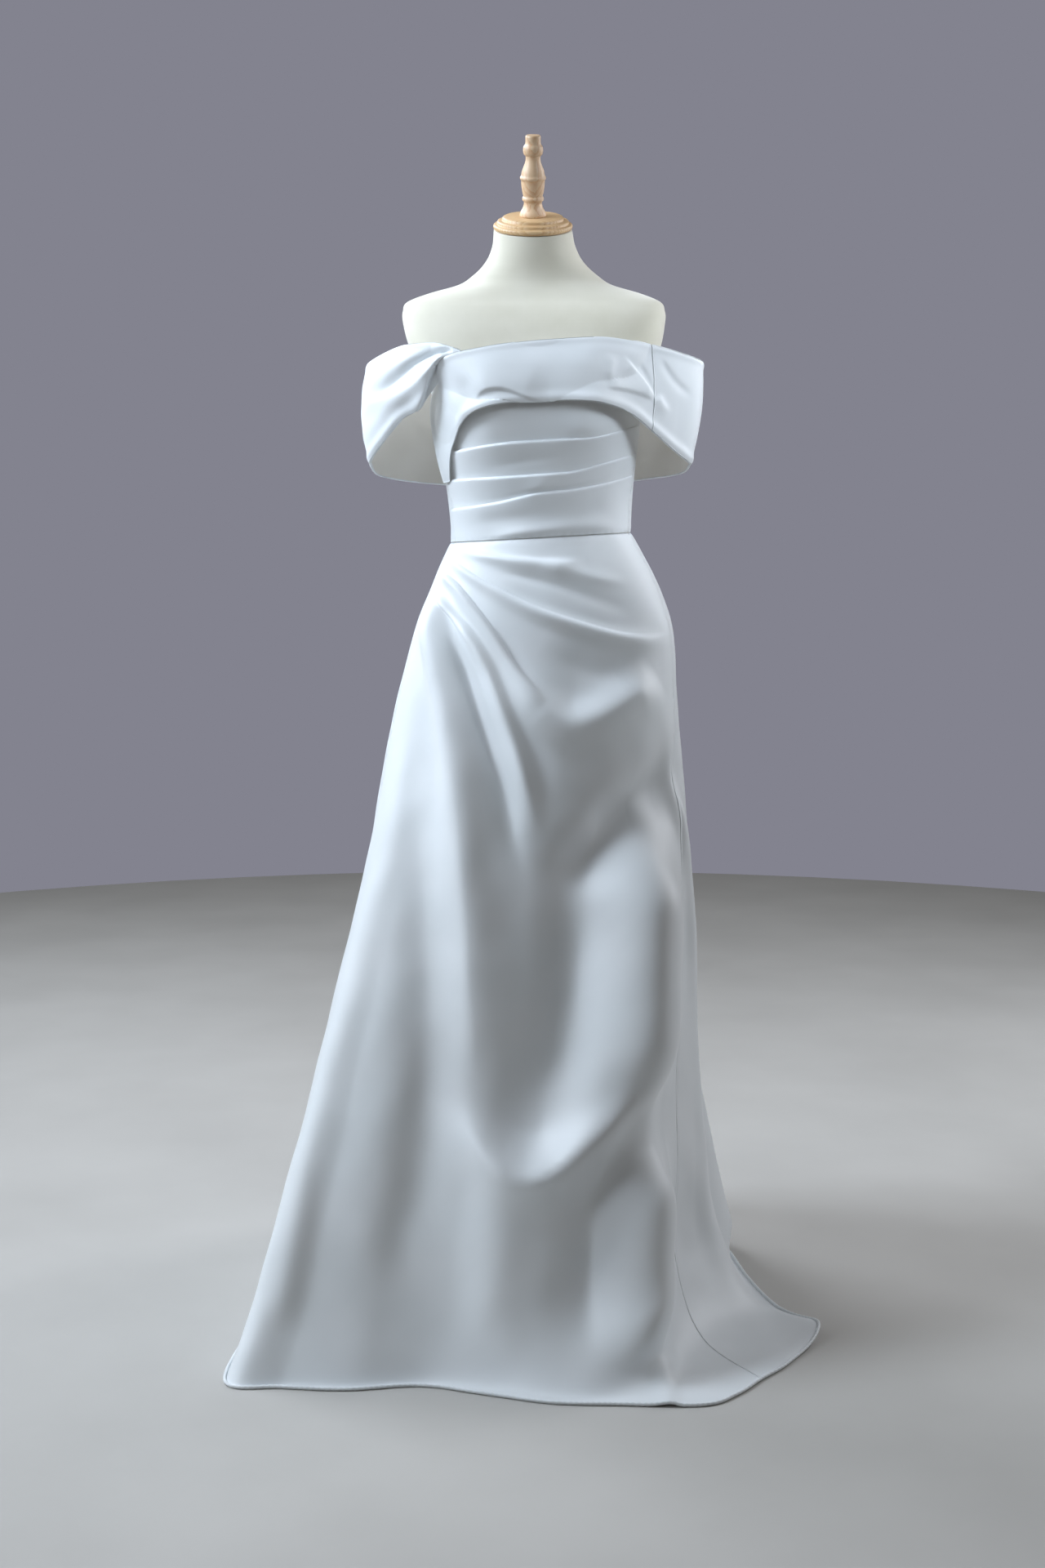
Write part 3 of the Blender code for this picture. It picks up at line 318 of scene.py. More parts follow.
@dataclass(frozen=True)
class Crease(Mark):
    """A trough, ridge or folded lip with its own width on either side, in millimetres."""

    rise: float
    above: float
    below: float
    path: Path
    profile: Profile = Profile.RIDGE
    opening: float = 1.0                           # share of its widths at the start

    @property
    def reach(self) -> float:
        """How far from the path it is felt."""
        return CREASE_REACH * max(self.above, self.below) / METRE

    def height(self, path: Grid, across: Grid, up: Grid) -> Grid:
        """How far the crease stands out.

        Args:
            path: its path's points.
            across: first coordinate of the places.
            up: second coordinate of the places.

        Returns:
            The rise at each place.
        """
        signed, along = path_distance(path, across, up)
        grown = (self.opening + (1.0 - self.opening) * smoothstep(along)) / METRE
        above = signed / (self.above * grown)
        below = signed / (self.below * grown)
        if self.profile is Profile.LIP_ABOVE:
            shape = np.where(signed > 0, 1.0 - smoothstep(above), np.exp(-below ** 2))
        elif self.profile is Profile.LIP_BELOW:
            shape = np.where(signed < 0, 1.0 - smoothstep(-below), np.exp(-above ** 2))
        else:
            shape = np.where(signed > 0, np.exp(-above ** 2), np.exp(-below ** 2))
        return self.rise / METRE * self.fade(along) * shape


@dataclass(frozen=True)
class Swell(Mark):
    """A broad rise or dip, soft all round, in millimetres."""

    rise: float
    width: float
    path: Path

    @property
    def reach(self) -> float:
        """How far from the path it is felt."""
        return CREASE_REACH * self.width / METRE

    def height(self, path: Grid, across: Grid, up: Grid) -> Grid:
        """How far the swell stands out: its path, blurred.

        Args:
            path: its path's points.
            across: first coordinate of the places.
            up: second coordinate of the places.

        Returns:
            The rise at each place.
        """
        middles = (path[1:] + path[:-1]) / 2.0
        steps = np.linalg.norm(np.diff(path, axis=0), axis=1)
        fade = self.fade((np.arange(len(steps)) + 0.5) / len(steps))
        width = self.width / METRE
        total = np.zeros(across.shape)
        for middle, step, share in zip(middles, steps, fade):
            away = (across - middle[0]) ** 2 + (up - middle[1]) ** 2
            total += share * step * np.exp(-away / width ** 2)
        return self.rise / METRE * total / (width * math.sqrt(math.pi))


def path_distance(path: Grid, across: Grid, up: Grid) -> tuple[Grid, Grid]:
    """Where places lie beside a path.

    Args:
        path: the path's points.
        across: first coordinate of the places.
        up: second coordinate of the places.

    Returns:
        Signed distances, positive on the left of the path's run, and the share of the path.
    """
    nearest = np.full(across.shape, np.inf)
    signed = np.zeros(across.shape)
    along = np.zeros(across.shape)
    last = len(path) - 1
    for number in range(last):
        start = path[number]
        run = path[number + 1] - start
        offset_across = across - start[0]
        offset_up = up - start[1]
        part = np.clip((offset_across * run[0] + offset_up * run[1]) / (run @ run), 0.0, 1.0)
        distance = np.hypot(offset_across - part * run[0], offset_up - part * run[1])
        side = np.sign(run[0] * offset_up - run[1] * offset_across)
        closer = distance < nearest
        nearest = np.where(closer, distance, nearest)
        signed = np.where(closer, distance * side, signed)
        along = np.where(closer, (number + part) / last, along)
    return signed, along


def crease_relief(marks: Iterable[Crease | Swell], points: Grid, outward: Grid) -> Grid:
    """Sum of the creases' and swells' rises.

    Args:
        marks: what is laid into the cloth.
        points: the cloth's points before that.
        outward: the cloth's outward normals there.

    Returns:
        How far each point stands out.
    """
    relief = np.zeros(points.shape[:-1])
    for mark in marks:
        across_axis, facing_axis, sign = mark.view.value
        facing = smoothstep(outward[..., facing_axis] * sign / FACING_SPAN)
        across = points[..., across_axis]
        up = points[..., 2]
        path = mark.smooth_path()
        low = path.min(axis=0) - mark.reach
        high = path.max(axis=0) + mark.reach
        near = (facing > 0) & (across > low[0]) & (across < high[0]) & (up > low[1]) & (up < high[1])
        if near.any():
            relief[near] += mark.height(path, across[near], up[near]) * facing[near]
    return relief


# ---------------- cloth shells

BORDER_STEPS = 3               # points round a cloth's cut edge
STITCH_GAP = 0.0001            # sewn edges touch but for the stitches
SEWN_ROUNDNESS = 0.20          # a sewn edge is pressed flat, so it bulges less than a folded one
PUCKER_DEPTH = 0.35            # how much the stitches' puckers vary a seam's depth
PUCKER_LENGTH = 0.013
PUCKER_BEAT = 0.071            # the puckers die down and come back over this length
PUCKER_PHASE = 1.0


class Edge(Enum):
    """A grid's four edges: its axis, its own row or column, and the next one in."""

    TOP = (0, 0, 1)
    BOTTOM = (0, -1, -2)
    START = (1, 0, 1)
    END = (1, -1, -2)

    def line(self, inner: bool = False) -> tuple:
        """Index of the edge's own row or column in a grid, or of the one next to it."""
        axis, own, following = self.value
        number = following if inner else own
        return (number,) if axis == 0 else (slice(None), number)


def pull_in(points: Grid, edge: Edge, distance: float) -> None:
    """Move one edge of a grid towards its inside by some distance."""
    line = points[edge.line()]
    points[edge.line()] = line + unit(points[edge.line(inner=True)] - line) * distance


def border_numbers(rows: int, columns: int) -> Grid:
    """Numbers of a grid's outline points, once round from the first."""
    number = np.arange(rows * columns).reshape(rows, columns)
    return np.concatenate([number[0], number[1:, -1], number[-1, -2::-1], number[-2:0:-1, 0]])


def border_outward(points: Grid) -> Grid:
    """Directions that point off a grid at its outline, in the plane of the cloth.

    Args:
        points: the grid's points.

    Returns:
        One direction for each point, zero away from the outline.
    """
    out = np.zeros(points.shape)
    for edge in Edge:
        out[edge.line()] += unit(points[edge.line()] - points[edge.line(inner=True)])
    return unit(out)


def grid_quads(rows: int, columns: int, first: int) -> Grid:
    """Faces of a grid of points numbered from `first`."""
    corner = first + (np.arange(rows - 1)[:, None] * columns + np.arange(columns - 1)[None, :]).ravel()
    return np.stack([corner, corner + columns, corner + columns + 1, corner + 1], axis=1)


def tube_quads(rings: int, sides: int) -> Grid:
    """Faces between closed rings of points.

    Args:
        rings: how many rings there are.
        sides: how many points each has.

    Returns:
        Four point numbers for each face.
    """
    number = np.arange(sides)
    after = np.roll(number, -1)
    faces = [np.stack([low + number, low + after, low + sides + after, low + sides + number], axis=1)
             for low in np.arange(rings - 1) * sides]
    return np.concatenate(faces)


def edit_alone(piece: Piece, selection: str) -> None:
    """Enter edit mode with one object alone.

    Args:
        piece: the object.
        selection: SELECT for all of its mesh, DESELECT for none.
    """
    bpy.ops.object.select_all(action="DESELECT")
    bpy.context.view_layer.objects.active = piece
    piece.select_set(True)
    bpy.ops.object.mode_set(mode="EDIT")
    bpy.ops.mesh.select_all(action=selection)


def close_ends(tube: Piece) -> None:
    """Cap the open ends of a tube."""
    edit_alone(tube, "DESELECT")
    bpy.ops.mesh.select_non_manifold()
    bpy.ops.mesh.edge_face_add()
    bpy.ops.object.mode_set(mode="OBJECT")
    tube.select_set(False)


def join_edges(outer: Grid, inner: Grid, thickness: float, sewn: Iterable[Edge],
               free: Iterable[Edge]) -> Grid:
    """Draw a piece's edges in, so that its rounded border ends where its cloth should.

    Args:
        outer: its outer face, which is changed.
        inner: its inner face, which is changed.
        thickness: of the cloth.
        sewn: edges that meet another panel.
        free: edges that are folded or rolled.

    Returns:
        How far the border bulges at each point, in half thicknesses.
    """
    roundness = np.ones(outer.shape[:2])
    for edge in sewn:
        roundness[edge.line()] = SEWN_ROUNDNESS
        for face in (outer, inner):
            pull_in(face, edge, (STITCH_GAP + SEWN_ROUNDNESS * thickness) / 2.0)
    for edge in free:
        for face in (outer, inner):
            pull_in(face, edge, thickness / 2.0)
    return roundness


def closed_shell(name: str, outer: Grid, inner: Grid, roundness: Grid) -> Piece:
    """A closed piece of cloth between two grids, with rounded cut edges and a UV map in metres.

    Args:
        name: the piece's name.
        outer: its outer face, row by row.
        inner: its inner face.
        roundness: how far the border bulges at each point, in half thicknesses.

    Returns:
        The new object.
    """
    rows, columns = outer.shape[:2]
    count = rows * columns
    loop = border_numbers(rows, columns)
    flat_outer = outer.reshape(-1, 3)
    flat_inner = inner.reshape(-1, 3)
    middle = (flat_outer[loop] + flat_inner[loop]) / 2.0
    half = (flat_outer[loop] - flat_inner[loop]) / 2.0
    reach = np.linalg.norm(half, axis=-1, keepdims=True) * roundness.reshape(-1, 1)[loop]
    outward = border_outward((outer + inner) / 2.0).reshape(-1, 3)[loop]
    rings = [flat_outer, flat_inner]
    for step in range(1, BORDER_STEPS + 1):
        angle = math.pi * step / (BORDER_STEPS + 1)
        rings.append(middle + half * math.cos(angle) + outward * reach * math.sin(angle))
    vertices = np.concatenate(rings)
    chain = [loop] + [2 * count + np.arange(len(loop)) + step * len(loop) for step in range(BORDER_STEPS)]
    chain.append(loop + count)
    faces = [grid_quads(rows, columns, 0), grid_quads(rows, columns, count)[:, ::-1]]
    for here, there in zip(chain, chain[1:]):
        faces.append(np.stack([np.roll(here, -1), here, there, np.roll(there, -1)], axis=1))
    across = lengths_of(outer, 1).ravel()
    down = lengths_of(outer, 0).ravel()
    flat = np.stack([across, down], axis=-1)
    flat = np.concatenate([flat, flat] + [flat[loop]] * BORDER_STEPS)
    return mesh_object(name, vertices, np.concatenate(faces), flat)


def mesh_object(name: str, vertices: Grid, faces: Grid, flat: Grid | None = None) -> Piece:
    """A smooth object from points and faces, turned so that its faces point out.

    Args:
        name: the object's name.
        vertices: its points.
        faces: four point numbers for each face.
        flat: each point's place in the cloth laid flat, in metres.

    Returns:
        The new object, in the scene.
    """
    corners = vertices[faces]
    volume = (np.cross(corners[:, 0], corners[:, 1]) * corners[:, 2]).sum()
    volume += (np.cross(corners[:, 0], corners[:, 2]) * corners[:, 3]).sum()
    if volume < 0:
        faces = faces[:, ::-1]
    mesh = bpy.data.meshes.new(name)
    mesh.from_pydata(vertices.tolist(), [], faces.tolist())
    mesh.polygons.foreach_set("use_smooth", np.ones(len(faces), bool))
    if flat is not None:
        layer = mesh.uv_layers.new(name="UVMap")
        layer.data.foreach_set("uv", flat[faces.ravel()].astype(np.float32).ravel())
    mesh.update()
    piece = bpy.data.objects.new(name, mesh)
    bpy.context.scene.collection.objects.link(piece)
    return piece


def edge_dip(points: Grid, edges: Iterable[Edge], depth: float, width: float) -> Grid:
    """How far cloth is drawn in along its sewn edges, with the small puckers of the stitching.

    Args:
        points: the cloth's points.
        edges: which of its edges are sewn.
        depth: how deep the seam lies.
        width: how far from the seam the cloth is drawn in.

    Returns:
        A relief, negative at the seams.
    """
    relief = np.zeros(points.shape[:-1])
    for edge in edges:
        axis, own, _ = edge.value
        run = lengths_of(points, axis)
        distance = run if own == 0 else np.take(run, [-1], axis=axis) - run
        along = lengths_of(points, 1 - axis)
        turn = along * 2.0 * math.pi
        pucker = 1.0 + PUCKER_DEPTH * np.sin(turn / PUCKER_LENGTH) * np.sin(turn / PUCKER_BEAT + PUCKER_PHASE)
        relief -= depth * pucker * bell(distance, width)
    return relief


# ---------------- the dress form's outline

@dataclass(frozen=True)
class Torso:
    """Outline of the dress form that the cloth follows."""

    sections: tuple[Section, ...] = FORM_SECTIONS
    bust_rise: float = 0.010
    bust_spread: float = 0.046
    bust_apart: float = 0.070
    bust_height: float = 1.272
    bust_turn: float = 4.0         # how soon the bust sets in where the side turns to the front
    bust_blend: float = 0.03       # the same, in metres forwards
    neck_base: float = 1.445
    neck_lean: float = math.radians(19.2)
    cap_centre: Place = (-0.0005, -0.012, 1.5375)

    def section_at(self, height: Grid | float) -> Section:
        """The form's section sizes at some heights."""
        rows = np.array(self.sections)
        return Section(height, *(through(rows[:, 0], rows[:, column], height) for column in range(1, 6)))

    def bust(self, x: Grid, height: Grid) -> Grid:
        """How far the bust carries the front forwards."""
        sides = bell(x + self.bust_apart, self.bust_spread) + bell(x - self.bust_apart, self.bust_spread)
        return self.bust_rise * bell(height - self.bust_height, self.bust_spread) * sides

    def point(self, angle: Grid | float, height: Grid | float, outset: float) -> tuple[Grid, Grid]:
        """Place on the form's surface, moved out.

        Args:
            angle: angle round the body, in degrees.
            height: height above the floor.
            outset: distance off the surface.

        Returns:
            X and Y.
        """
        section = self.section_at(height)
        radians = np.radians(angle)
        cosine = np.sign(np.cos(radians)) * np.abs(np.cos(radians)) ** (2.0 / section.squareness)
        sine = np.sign(np.sin(radians)) * np.abs(np.sin(radians)) ** (2.0 / section.squareness)
        depth = np.where(sine < 0, section.front, section.back)
        x = section.centre + (section.half_width + outset) * cosine
        y = (depth + outset) * sine
        return x, y - self.bust(x - section.centre, height) * smoothstep(-sine * self.bust_turn)

    def keep_outside(self, points: Grid, outset: Grid) -> Grid:
        """Push points that lie inside the outline out of it.

        Args:
            points: the cloth's points.
            outset: how far off the outline each has to lie.

        Returns:
            The points, moved where they need it.
        """
        x, y, z = points[..., 0], points[..., 1], points[..., 2]
        section = self.section_at(z)
        depth = np.where(y < 0, section.front, section.back) + outset
        across = np.abs((x - section.centre) / (section.half_width + outset)) ** section.squareness
        along = np.abs(y / depth) ** section.squareness
        reach = (across + along) ** (1.0 / section.squareness)
        scale = np.where(reach < 1.0, 1.0 / np.maximum(reach, NEARLY_ZERO), 1.0)
        x = section.centre + (x - section.centre) * scale
        y = y * scale
        y = y - self.bust(x - section.centre, z) * smoothstep(-y / self.bust_blend)
        return np.stack([x, y, z], axis=-1)

    def lean(self, x: Grid, y: Grid, z: Grid) -> tuple[Grid, Grid, Grid]:
        """Tip the neck forwards, more towards the top."""
        part = smoothstep((z - self.neck_base) / (self.sections[-1].height - self.neck_base))
        return x, y + part * self.cap_centre[1], z + part * math.tan(self.neck_lean) * y


TORSO = Torso()


def waist_height(x: Grid | float) -> Grid:
    """Height of the waist seam, which climbs towards +X."""
    return WAIST + WAIST_CLIMB * x


# ---------------- finishes

def linear(hex_colour: str) -> tuple[float, float, float, float]:
    """The linear colour and full alpha of an sRGB hex value such as "e8e6dc"."""
    parts = [int(hex_colour[place:place + 2], 16) / 255.0 for place in (0, 2, 4)]
    turned = [part / 12.92 if part <= 0.04045 else ((part + 0.055) / 1.055) ** 2.4 for part in parts]
    return (*turned, 1.0)


def add_node(tree: Tree, kind: str, inputs: dict | None = None, stops: Sequence[tuple[float, str]] = (),
             **settings: str) -> bpy.types.Node:
    """Add a node to a tree.

    Args:
        tree: the material's nodes.
        kind: the node's type.
        inputs: for its inputs, by name or number: values, outputs, or nodes whose first output feeds them.
        stops: places and hex values, where it runs through colours.
        settings: the node's own properties.

    Returns:
        The new node.
    """
    node = tree.nodes.new(kind)
    for name, value in settings.items():
        setattr(node, name, value)
    if stops:
        elements = node.color_ramp.elements
        while len(elements) < len(stops):
            elements.new(0.5)
        for element, (place, colour) in zip(elements, stops):
            element.position = place
            element.color = linear(colour)
    for key, value in (inputs or {}).items():
        if isinstance(value, bpy.types.Node):
            value = value.outputs[0]
        if isinstance(value, bpy.types.NodeSocket):
            tree.links.new(value, node.inputs[key])
        else:
            node.inputs[key].default_value = value
    return node


def new_material(name: str) -> tuple[Finish, Tree]:
    """An empty material of that name, and its nodes."""
    material = bpy.data.materials.new(name)
    material.use_nodes = True
    material.node_tree.nodes.clear()
    return material, material.node_tree


def finish_with(tree: Tree, inputs: dict) -> None:
    """Close a material's nodes with a shader that has those inputs."""
    shader = add_node(tree, "ShaderNodeBsdfPrincipled", inputs)
    add_node(tree, "ShaderNodeOutputMaterial", {"Surface": shader})


@dataclass(frozen=True)
class Clouding:
    """Patches of close colours that run into one another, as dye, wear and handling leave them."""

    size: float
    detail: float
    stops: tuple[tuple[float, str], ...]

    def colour(self, tree: Tree, place: bpy.types.NodeSocket | bpy.types.Node) -> bpy.types.Node:
        """The patches' colour, laid out over `place`."""
        noise = add_node(tree, "ShaderNodeTexNoise",
                         {"Vector": place, "Scale": 1.0 / self.size, "Detail": self.detail})
        return add_node(tree, "ShaderNodeValToRGB", {"Fac": noise}, stops=self.stops)


WAVE_PERIOD = 2.0 * math.pi / 20.0      # a wave texture of scale 1 repeats after this many metres


@dataclass(frozen=True)
class DuchessSatin:
    """Heavy polyester duchess satin: long floats on the face give broad, soft highlights."""

    roughness: float = 0.50
    rib: float = 0.9 * MM               # real floats are 0.1 mm apart; coarser so that they show
    slub_width: float = 1.6 * MM
    slub_length: float = 38.0 * MM
    whites: Clouding = Clouding(111.1 * MM, 2.0, ((0.35, "e3e8eb"), (0.65, "e8ecef")))

    def material(self) -> Finish:
        """Cool white, with the slight streaks of the warp and a fine rib."""
        material, tree = new_material("white_duchess_satin")
        flat = add_node(tree, "ShaderNodeUVMap", uv_map="UVMap")
        along = add_node(tree, "ShaderNodeMapping",
                         {"Vector": flat, "Scale": (1.0 / self.slub_width, 1.0 / self.slub_length, 1.0)})
        streaks = add_node(tree, "ShaderNodeTexNoise", {"Vector": along, "Scale": 1.0, "Detail": 3.0})
        rib = add_node(tree, "ShaderNodeTexWave",
                       {"Vector": flat, "Scale": WAVE_PERIOD / self.rib, "Distortion": 1.2, "Detail": 1.0,
                        "Detail Scale": 0.4},
                       wave_type="BANDS", bands_direction="DIAGONAL")
        height = add_node(tree, "ShaderNodeMath", {0: streaks, 1: rib.outputs["Fac"]}, operation="ADD")
        bump = add_node(tree, "ShaderNodeBump",
                        {"Strength": 0.10, "Distance": 0.12 * MM, "Height": height})
        gloss = add_node(tree, "ShaderNodeMapRange",
                         {"Value": streaks, "From Min": 0.3, "From Max": 0.7,
                          "To Min": self.roughness - 0.03, "To Max": self.roughness + 0.04})
        finish_with(tree, {"Base Color": self.whites.colour(tree, flat), "Roughness": gloss, "IOR": 1.5,
                           "Specular IOR Level": 0.70, "Sheen Weight": 0.25, "Sheen Roughness": 0.35,
                           "Normal": bump})
        return material


@dataclass(frozen=True)
class PaintedBacklightInnerFace:
    """The collar's inner face: a plain weave, smoother and duller than the satin's face, in a warmer cream
    that is painted backlight, for light that shines through the satin and bounces inside the arm loops.
    """

    thread: float = 1.5 * MM            # real threads are 0.2 mm apart; coarser so that they show
    # painted backlight: creams warmer than the satin's whites, for light shining through the cloth
    creams: Clouding = Clouding(83.3 * MM, 2.0, ((0.35, "ebe7e0"), (0.65, "f0ece6")))

    def material(self) -> Finish:
        """Warm white, painted as backlight through the satin, with a faint unevenness of the weave."""
        material, tree = new_material("inner_face_painted_backlight")
        flat = add_node(tree, "ShaderNodeUVMap", uv_map="UVMap")
        threads = add_node(tree, "ShaderNodeTexNoise",
                           {"Vector": flat, "Scale": 1.0 / self.thread, "Detail": 2.0})
        bump = add_node(tree, "ShaderNodeBump",
                        {"Strength": 0.08, "Distance": 0.10 * MM, "Height": threads})
        finish_with(tree, {"Base Color": self.creams.colour(tree, flat), "Roughness": 0.55,
                           "Specular IOR Level": 0.4, "Sheen Weight": 0.2, "Normal": bump})
        return material


@dataclass(frozen=True)
class CreamJersey:
    """Fine cotton jersey pulled over padding: matt, with tiny knitted ribs."""

    wale: float = 1.3 * MM              # real wales are 0.7 mm apart; coarser so that they show
    course_share: float = 1.2           # distance between courses, in wales
    creams: Clouding = Clouding(71.4 * MM, 4.0, ((0.30, "d6d2c1"), (0.70, "dfdbcc")))

    def material(self) -> Finish:
        """Warm cream with a faint unevenness from handling."""
        material, tree = new_material("cream_cotton_jersey")
        place = add_node(tree, "ShaderNodeTexCoord").outputs["Object"]
        wales = add_node(tree, "ShaderNodeTexWave",
                         {"Vector": place, "Scale": WAVE_PERIOD / self.wale, "Distortion": 0.6},
                         wave_type="BANDS", bands_direction="X")
        courses = add_node(tree, "ShaderNodeTexWave",
                           {"Vector": place, "Scale": WAVE_PERIOD / (self.course_share * self.wale),
                            "Distortion": 0.8},
                           wave_type="BANDS", bands_direction="Z")
        knit = add_node(tree, "ShaderNodeMath",
                        {0: wales.outputs["Fac"], 1: courses.outputs["Fac"]}, operation="MULTIPLY")
        bump = add_node(tree, "ShaderNodeBump",
                        {"Strength": 0.14, "Distance": 0.25 * MM, "Height": knit})
        finish_with(tree, {"Base Color": self.creams.colour(tree, place), "Roughness": 0.88,
                           "Specular IOR Level": 0.3, "Sheen Weight": 0.45, "Sheen Roughness": 0.5,
                           "Normal": bump})
        return material


@dataclass(frozen=True)
class Timber:
    """Oiled wood, turned on a lathe: drawn-out grain, small pores and a soft shine."""

    name: str
    light: str
    middle: str
    dark: str
    grain: float                        # distance between growth lines
    direction: Place                    # how the grain is drawn out
    roughness: float
    pore: float = 1.1 * MM
    line_share: float = 0.55            # growth lines against pores

    def material(self) -> Finish:
        """Growth lines warped by noise, with darker pores along them."""
        material, tree = new_material(self.name)
        place = add_node(tree, "ShaderNodeTexCoord").outputs["Object"]
        drawn = add_node(tree, "ShaderNodeMapping", {"Vector": place, "Scale": self.direction})
        lines = add_node(tree, "ShaderNodeTexWave",
                         {"Vector": drawn, "Scale": WAVE_PERIOD / self.grain, "Distortion": 5.0,
                          "Detail": 3.0, "Detail Scale": 1.6, "Detail Roughness": 0.6},
                         wave_type="BANDS", bands_direction="Y", wave_profile="SAW")
        pores = add_node(tree, "ShaderNodeTexNoise",
                         {"Vector": drawn, "Scale": 1.0 / self.pore, "Detail": 4.0, "Roughness": 0.7})
        mixed = add_node(tree, "ShaderNodeMath", {0: lines.outputs["Fac"], 1: self.line_share},
                         operation="MULTIPLY")
        both = add_node(tree, "ShaderNodeMath", {0: mixed, 1: pores}, operation="ADD")
        colour = add_node(tree, "ShaderNodeValToRGB", {"Fac": both},
                          stops=((0.32, self.dark), (0.55, self.middle), (0.95, self.light)))
        bump = add_node(tree, "ShaderNodeBump",
                        {"Strength": 0.25, "Distance": 0.15 * MM, "Height": both})
        finish_with(tree, {"Base Color": colour, "Roughness": self.roughness, "IOR": 1.5,
                           "Coat Weight": 0.12, "Coat Roughness": 0.35, "Normal": bump})
        return material


@dataclass(frozen=True)
class Coating:
    """A sprayed or dipped coat on metal, with the faint orange peel that it dries to."""

    name: str
    colour: str
    worn: str
    roughness: float
    peel: float                         # distance between its bumps
    mark: float = 16.67 * MM            # handling marks

    def material(self) -> Finish:
        """Even colour with slight handling marks."""
        material, tree = new_material(self.name)
        place = add_node(tree, "ShaderNodeTexCoord").outputs["Object"]
        handled = Clouding(self.mark, 5.0, ((0.35, self.worn), (0.60, self.colour)))
        peel = add_node(tree, "ShaderNodeTexNoise",
                        {"Vector": place, "Scale": 1.0 / self.peel, "Detail": 1.0})
        bump = add_node(tree, "ShaderNodeBump",
                        {"Strength": 0.12, "Distance": 0.05 * MM, "Height": peel})
        finish_with(tree, {"Base Color": handled.colour(tree, place), "Roughness": self.roughness,
                           "Coat Weight": 0.3, "Coat Roughness": 0.15, "Normal": bump})
        return material


class Finishes:
    """Every material of the dress and its form, made once."""

    def __init__(self) -> None:
        """Make the materials."""
        self.satin = DuchessSatin().material()
        # the collar's inner face: a warmer cream, painted backlight through the satin
        self.painted_backlight = PaintedBacklightInnerFace().material()
        self.jersey = CreamJersey().material()
        self.oak = Timber("oiled_oak", "e0c094", "d0a676", "b07e50",
                          grain=3.4 * MM, direction=(0.12, 1.0, 1.0), roughness=0.42).material()
        self.beech = Timber("turned_beech", "e9cba8", "deb48c", "c99a70",
                            grain=5.0 * MM, direction=(1.0, 1.0, 0.10), roughness=0.40).material()
        self.steel = Coating("powder_coated_steel", "e2e2de", "d2d2cc", 0.45, peel=1.5 * MM).material()
        self.lacquer = Coating("lacquered_zinc", "e9ecef", "d4d8dc", 0.28, peel=0.8 * MM).material()


def paint_inner_face_backlight(piece: Piece, painted_backlight: Finish, columns: int, rows: int) -> None:
    """Give a shell's inner face its own finish, a warmer cream painted as backlight.

    Args:
        piece: a closed shell that has its own finish already.
        painted_backlight: the inner face's finish.
        columns: columns of points in each of its two grids.
        rows: rows of points in each; the inner grid's faces follow the outer one's.
    """
    faces = (columns - 1) * (rows - 1)
    piece.data.materials.append(painted_backlight)
    numbers = np.zeros(len(piece.data.polygons), np.int32)
    numbers[faces:2 * faces] = 1
    piece.data.polygons.foreach_set("material_index", numbers)


def coat(frame: dict, finish: Finish, *nodes: str) -> None:
    """Give nodes of the frame, which the scene keeps as they are, a finish.

    Args:
        frame: the loaded frame.
        finish: the nodes' finish.
        nodes: their names.
    """
    for node in nodes:
        carried = frame["nodes"][node]
        carried.data.materials.clear()
        carried.data.materials.append(finish)
        log.info("%s: coated", node)


def dress(piece: Piece, finish: Finish, slot: str, *nodes: str) -> None:
    """Give a piece its finish and its place in the frame.

    Args:
        piece: the new piece.
        finish: its finish.
        slot: the record's material slot; not used.
        nodes: the frame's nodes that it stands for.
    """
    piece.data.materials.clear()
    piece.data.materials.append(finish)
    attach(piece, BODY)
    if nodes:
        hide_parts(*nodes)
    log.info("%s: %d faces", piece.name, len(piece.data.polygons))


# ---------------- dress form

@dataclass
class DressForm:
    """The padded, jersey-covered body; its neck cap and finial and the stand below are seen to by their own
    classes.
    """

    finishes: Finishes
    columns: int = 150
    spans: Spans = (
        (0.8500, 0.8500, 1), (0.8504, 0.8620, 6), (0.8660, 0.9000, 6), (0.9100, 1.2900, 44),
        (1.2970, 1.4120, 24), (1.4150, 1.4620, 26), (1.4640, 1.5180, 26), (1.5210, 1.5372, 6),
    )
    end_shares: tuple[float, ...] = (0.0, 0.5, 0.9, 0.985)     # rings on both flat ends, from the middle out
    merge_distance: float = 1e-5
    smooth_angle: float = math.radians(40.0)

    def build(self) -> None:
        """The body: one smooth skin from the hips to the neck."""
        heights = np.concatenate([np.linspace(*span) for span in self.spans])
        angles = np.arange(self.columns) * 360.0 / self.columns
        x, y = TORSO.point(angles[None, :], heights[:, None], 0.0)
        x, y, z = TORSO.lean(x, y, heights[:, None] + 0.0 * x)
        points = np.stack([x, y, z], axis=-1)
        rings = [self.shrunk(points[0], share) for share in self.end_shares] + list(points)
        rings += [self.shrunk(points[-1], share) for share in reversed(self.end_shares)]
        body = mesh_object("padded_body", np.concatenate(rings), tube_quads(len(rings), self.columns))
        self.close_poles(body)
        dress(body, self.finishes.jersey, "jersey", "form_body")

    @staticmethod
    def shrunk(ring: Grid, share: float) -> Grid:
        """A copy of a ring drawn towards its middle to a share of its size."""
        middle = ring.mean(axis=0)
        return middle + (ring - middle) * share

    def close_poles(self, body: Piece) -> None:
        """Merge the points of the body that meet in the middle of both flat ends."""
        edit_alone(body, "SELECT")
        bpy.ops.mesh.remove_doubles(threshold=self.merge_distance)
        bpy.ops.object.mode_set(mode="OBJECT")
        bpy.ops.object.shade_smooth_by_angle(angle=self.smooth_angle)
        body.select_set(False)


class Ring(NamedTuple):
    """One ring of a turned profile, from the bottom up."""

    radius: float
    height: float


